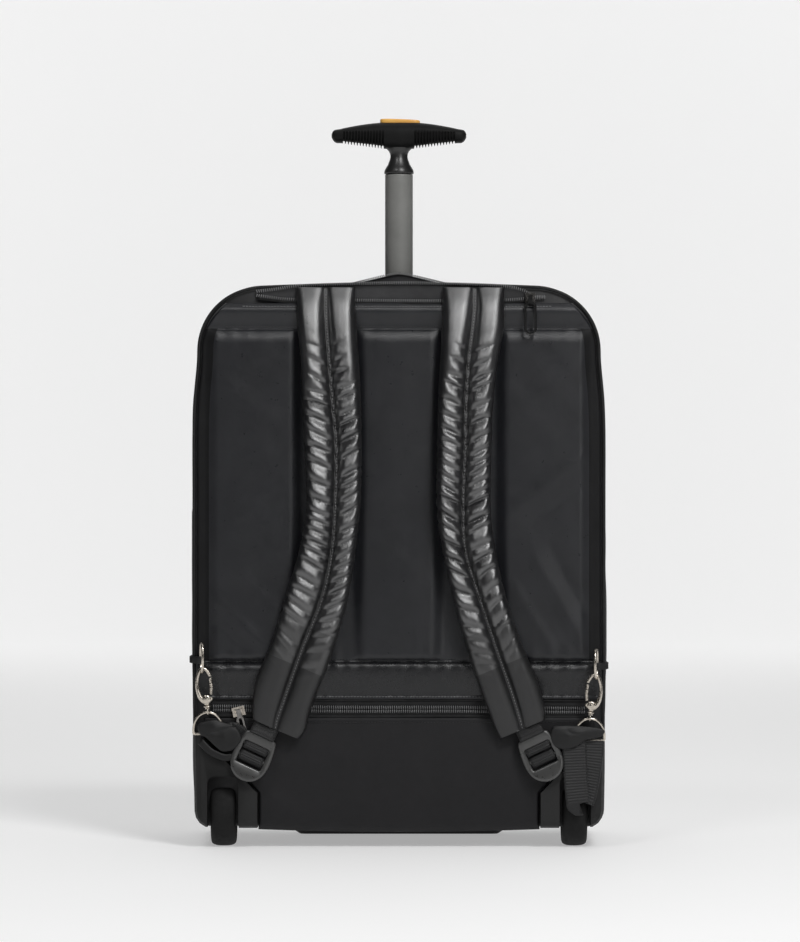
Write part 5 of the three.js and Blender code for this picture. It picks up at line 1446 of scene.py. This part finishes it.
tab_leather = fabric(
    "tab_leather", (0.0050, 0.0050, 0.0052), (0.0085, 0.0085, 0.0088), 0.38, 0.5, weave=0.0010,
    Specular_IOR_Level=0.35)
leather_tab(
    "left", [(-192.0, 119.0), (-185.0, 122.6), (-177.0, 124.0), (-167.4, 121.0), (-158.0, 117.5), (-172.0, 109.0),
             (-186.0, 107.4), (-191.4, 111.5)],
    [(-186.6, 110.4), (-174.0, 113.8), (-162.0, 117.2), (-155.0, 115.4), (-150.8, 105.4), (-157.6, 96.0),
     (-164.0, 93.6),
     (-171.0, 94.4), (-180.0, 102.4)],
    [(-189.8, -100.4, 102.8), (-180.6, -101.0, 93.6), (-168.0, -101.2, 87.8), (-159.6, -100.8, 88.0)], 7.0, 4.0)
leather_tab(
    "right", [(146.6, 116.6), (160.0, 118.4), (176.0, 117.6), (192.6, 115.6), (197.0, 112.0), (190.0, 106.4),
              (172.0, 104.0),
              (150.0, 106.0)],
    [(145.4, 112.6), (150.0, 117.0), (164.0, 116.6), (178.0, 114.6), (186.0, 113.0), (180.4, 106.4), (170.0, 98.4),
     (160.0, 95.6), (150.4, 97.6), (146.0, 104.0)], None, 0.0, 7.0)


# CAD nodes whose shape is kept get their finish here
KEPT = {
    "outer_tube": anodised, "tube_collar": neck_plastic, "wheel_housing_left": housing_plastic,
    "wheel_housing_right": housing_plastic, "axle_left": steel, "axle_right": steel, "front_foot": housing_plastic,
    "top_slider": dark_metal, "top_pull": gloss_plastic, "lower_slider": nickel, "lower_pull": dark_metal,
}
for node_name, wide in (("wheel_housing_left", 0.0012), ("wheel_housing_right", 0.0012), ("front_foot", 0.0012),
                        ("top_slider", 0.0014), ("lower_slider", 0.0014)):
    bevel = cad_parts[node_name].modifiers.new("bevel", "BEVEL")
    bevel.width = wide
    bevel.segments = 3
    bevel.limit_method = "ANGLE"
    bevel.angle_limit = 0.6
for node_name, finish in KEPT.items():
    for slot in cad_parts[node_name].material_slots:
        slot.material = finish


# Camera at the height and distance of the photograph
camera_data = bpy.data.cameras.new("camera")
camera_data.lens = 159.2
camera_data.sensor_width = 36.0
camera_data.clip_end = 60.0
camera = bpy.data.objects.new("camera", camera_data)
camera.location = (0.001, -4.09, 0.3619)
camera.rotation_euler = (math.pi / 2, 0, 0)
bpy.context.scene.collection.objects.link(camera)
bpy.context.scene.camera = camera

# Floor that curves up behind into a backdrop
floor_material, floor_shader = base_material(
    "floor", Specular_IOR_Level=0.1, Emission_Color=(1.0, 1.0, 1.0, 1), Emission_Strength=0.37)
floor_mottle = noise_at(floor_material, 0.6, 2.0)
wire(floor_material, colours(floor_material, floor_mottle, (0.62, 0.62, 0.62), (0.625, 0.625, 0.625)),
     floor_shader.inputs["Base Color"])
wire(floor_material, spread(floor_material, floor_mottle, 0.8, 0.85), floor_shader.inputs["Roughness"])
profile = [(-7.0, 0.0), (4.6, 0.0)]
profile += [(4.6 + 1.6 * math.sin(a), 1.6 - 1.6 * math.cos(a)) for a in np.linspace(0, math.pi / 2, 24)[1:]]
profile += [(6.2, 6.0)]
floor_mesh = bpy.data.meshes.new("floor")
floor_points = [(x, y, z) for y, z in profile for x in (-5.0, 5.0)]
floor_faces = [(2 * i, 2 * i + 1, 2 * i + 3, 2 * i + 2) for i in range(len(profile) - 1)]
floor_mesh.from_pydata(floor_points, [], floor_faces)
floor_mesh.polygons.foreach_set("use_smooth", [True] * len(floor_mesh.polygons))
floor_mesh.materials.append(floor_material)
floor = bpy.data.objects.new("floor", floor_mesh)
bpy.context.scene.collection.objects.link(floor)


def area_light(name, place, target, width, height, power, colour=(1, 1, 1)):
    data = bpy.data.lights.new(name, "AREA")
    data.shape = "RECTANGLE"
    data.size = width
    data.size_y = height
    data.energy = power
    data.color = colour
    light = bpy.data.objects.new(name, data)
    light.location = place
    light.rotation_euler = (Vector(target) - Vector(place)).to_track_quat("-Z", "Y").to_euler()
    bpy.context.scene.collection.objects.link(light)


area_light("key", (0.95, -2.1, 2.5), (0, 0, 0.35), 0.6, 0.6, 40.0)
area_light("fill", (-0.95, -2.1, 2.5), (0, 0, 0.35), 0.7, 0.7, 14.0)
area_light("front", (1.2, -2.7, 1.6), (0, 0, 0.35), 0.9, 1.4, 19.0)
area_light("overhead", (0.0, 0.6, 3.4), (0, 0.6, 0), 3.4, 2.4, 29.0)
area_light("overhead_far", (0.0, 3.8, 3.4), (0, 3.8, 0), 3.4, 3.0, 34.0)
area_light("backdrop_left", (-2.4, 4.2, 1.6), (0.3, 6.2, 1.2), 0.8, 1.8, 20.0)
area_light("backdrop_right", (2.4, 4.2, 1.6), (-0.3, 6.2, 1.2), 0.8, 1.8, 20.0)

world = bpy.data.worlds.new("world")
world.use_nodes = True
world.node_tree.nodes["Background"].inputs["Color"].default_value = (1.0, 1.0, 1.0, 1)
world.node_tree.nodes["Background"].inputs["Strength"].default_value = 0.02
bpy.context.scene.world = world
bpy.context.scene.view_settings.view_transform = "Standard"
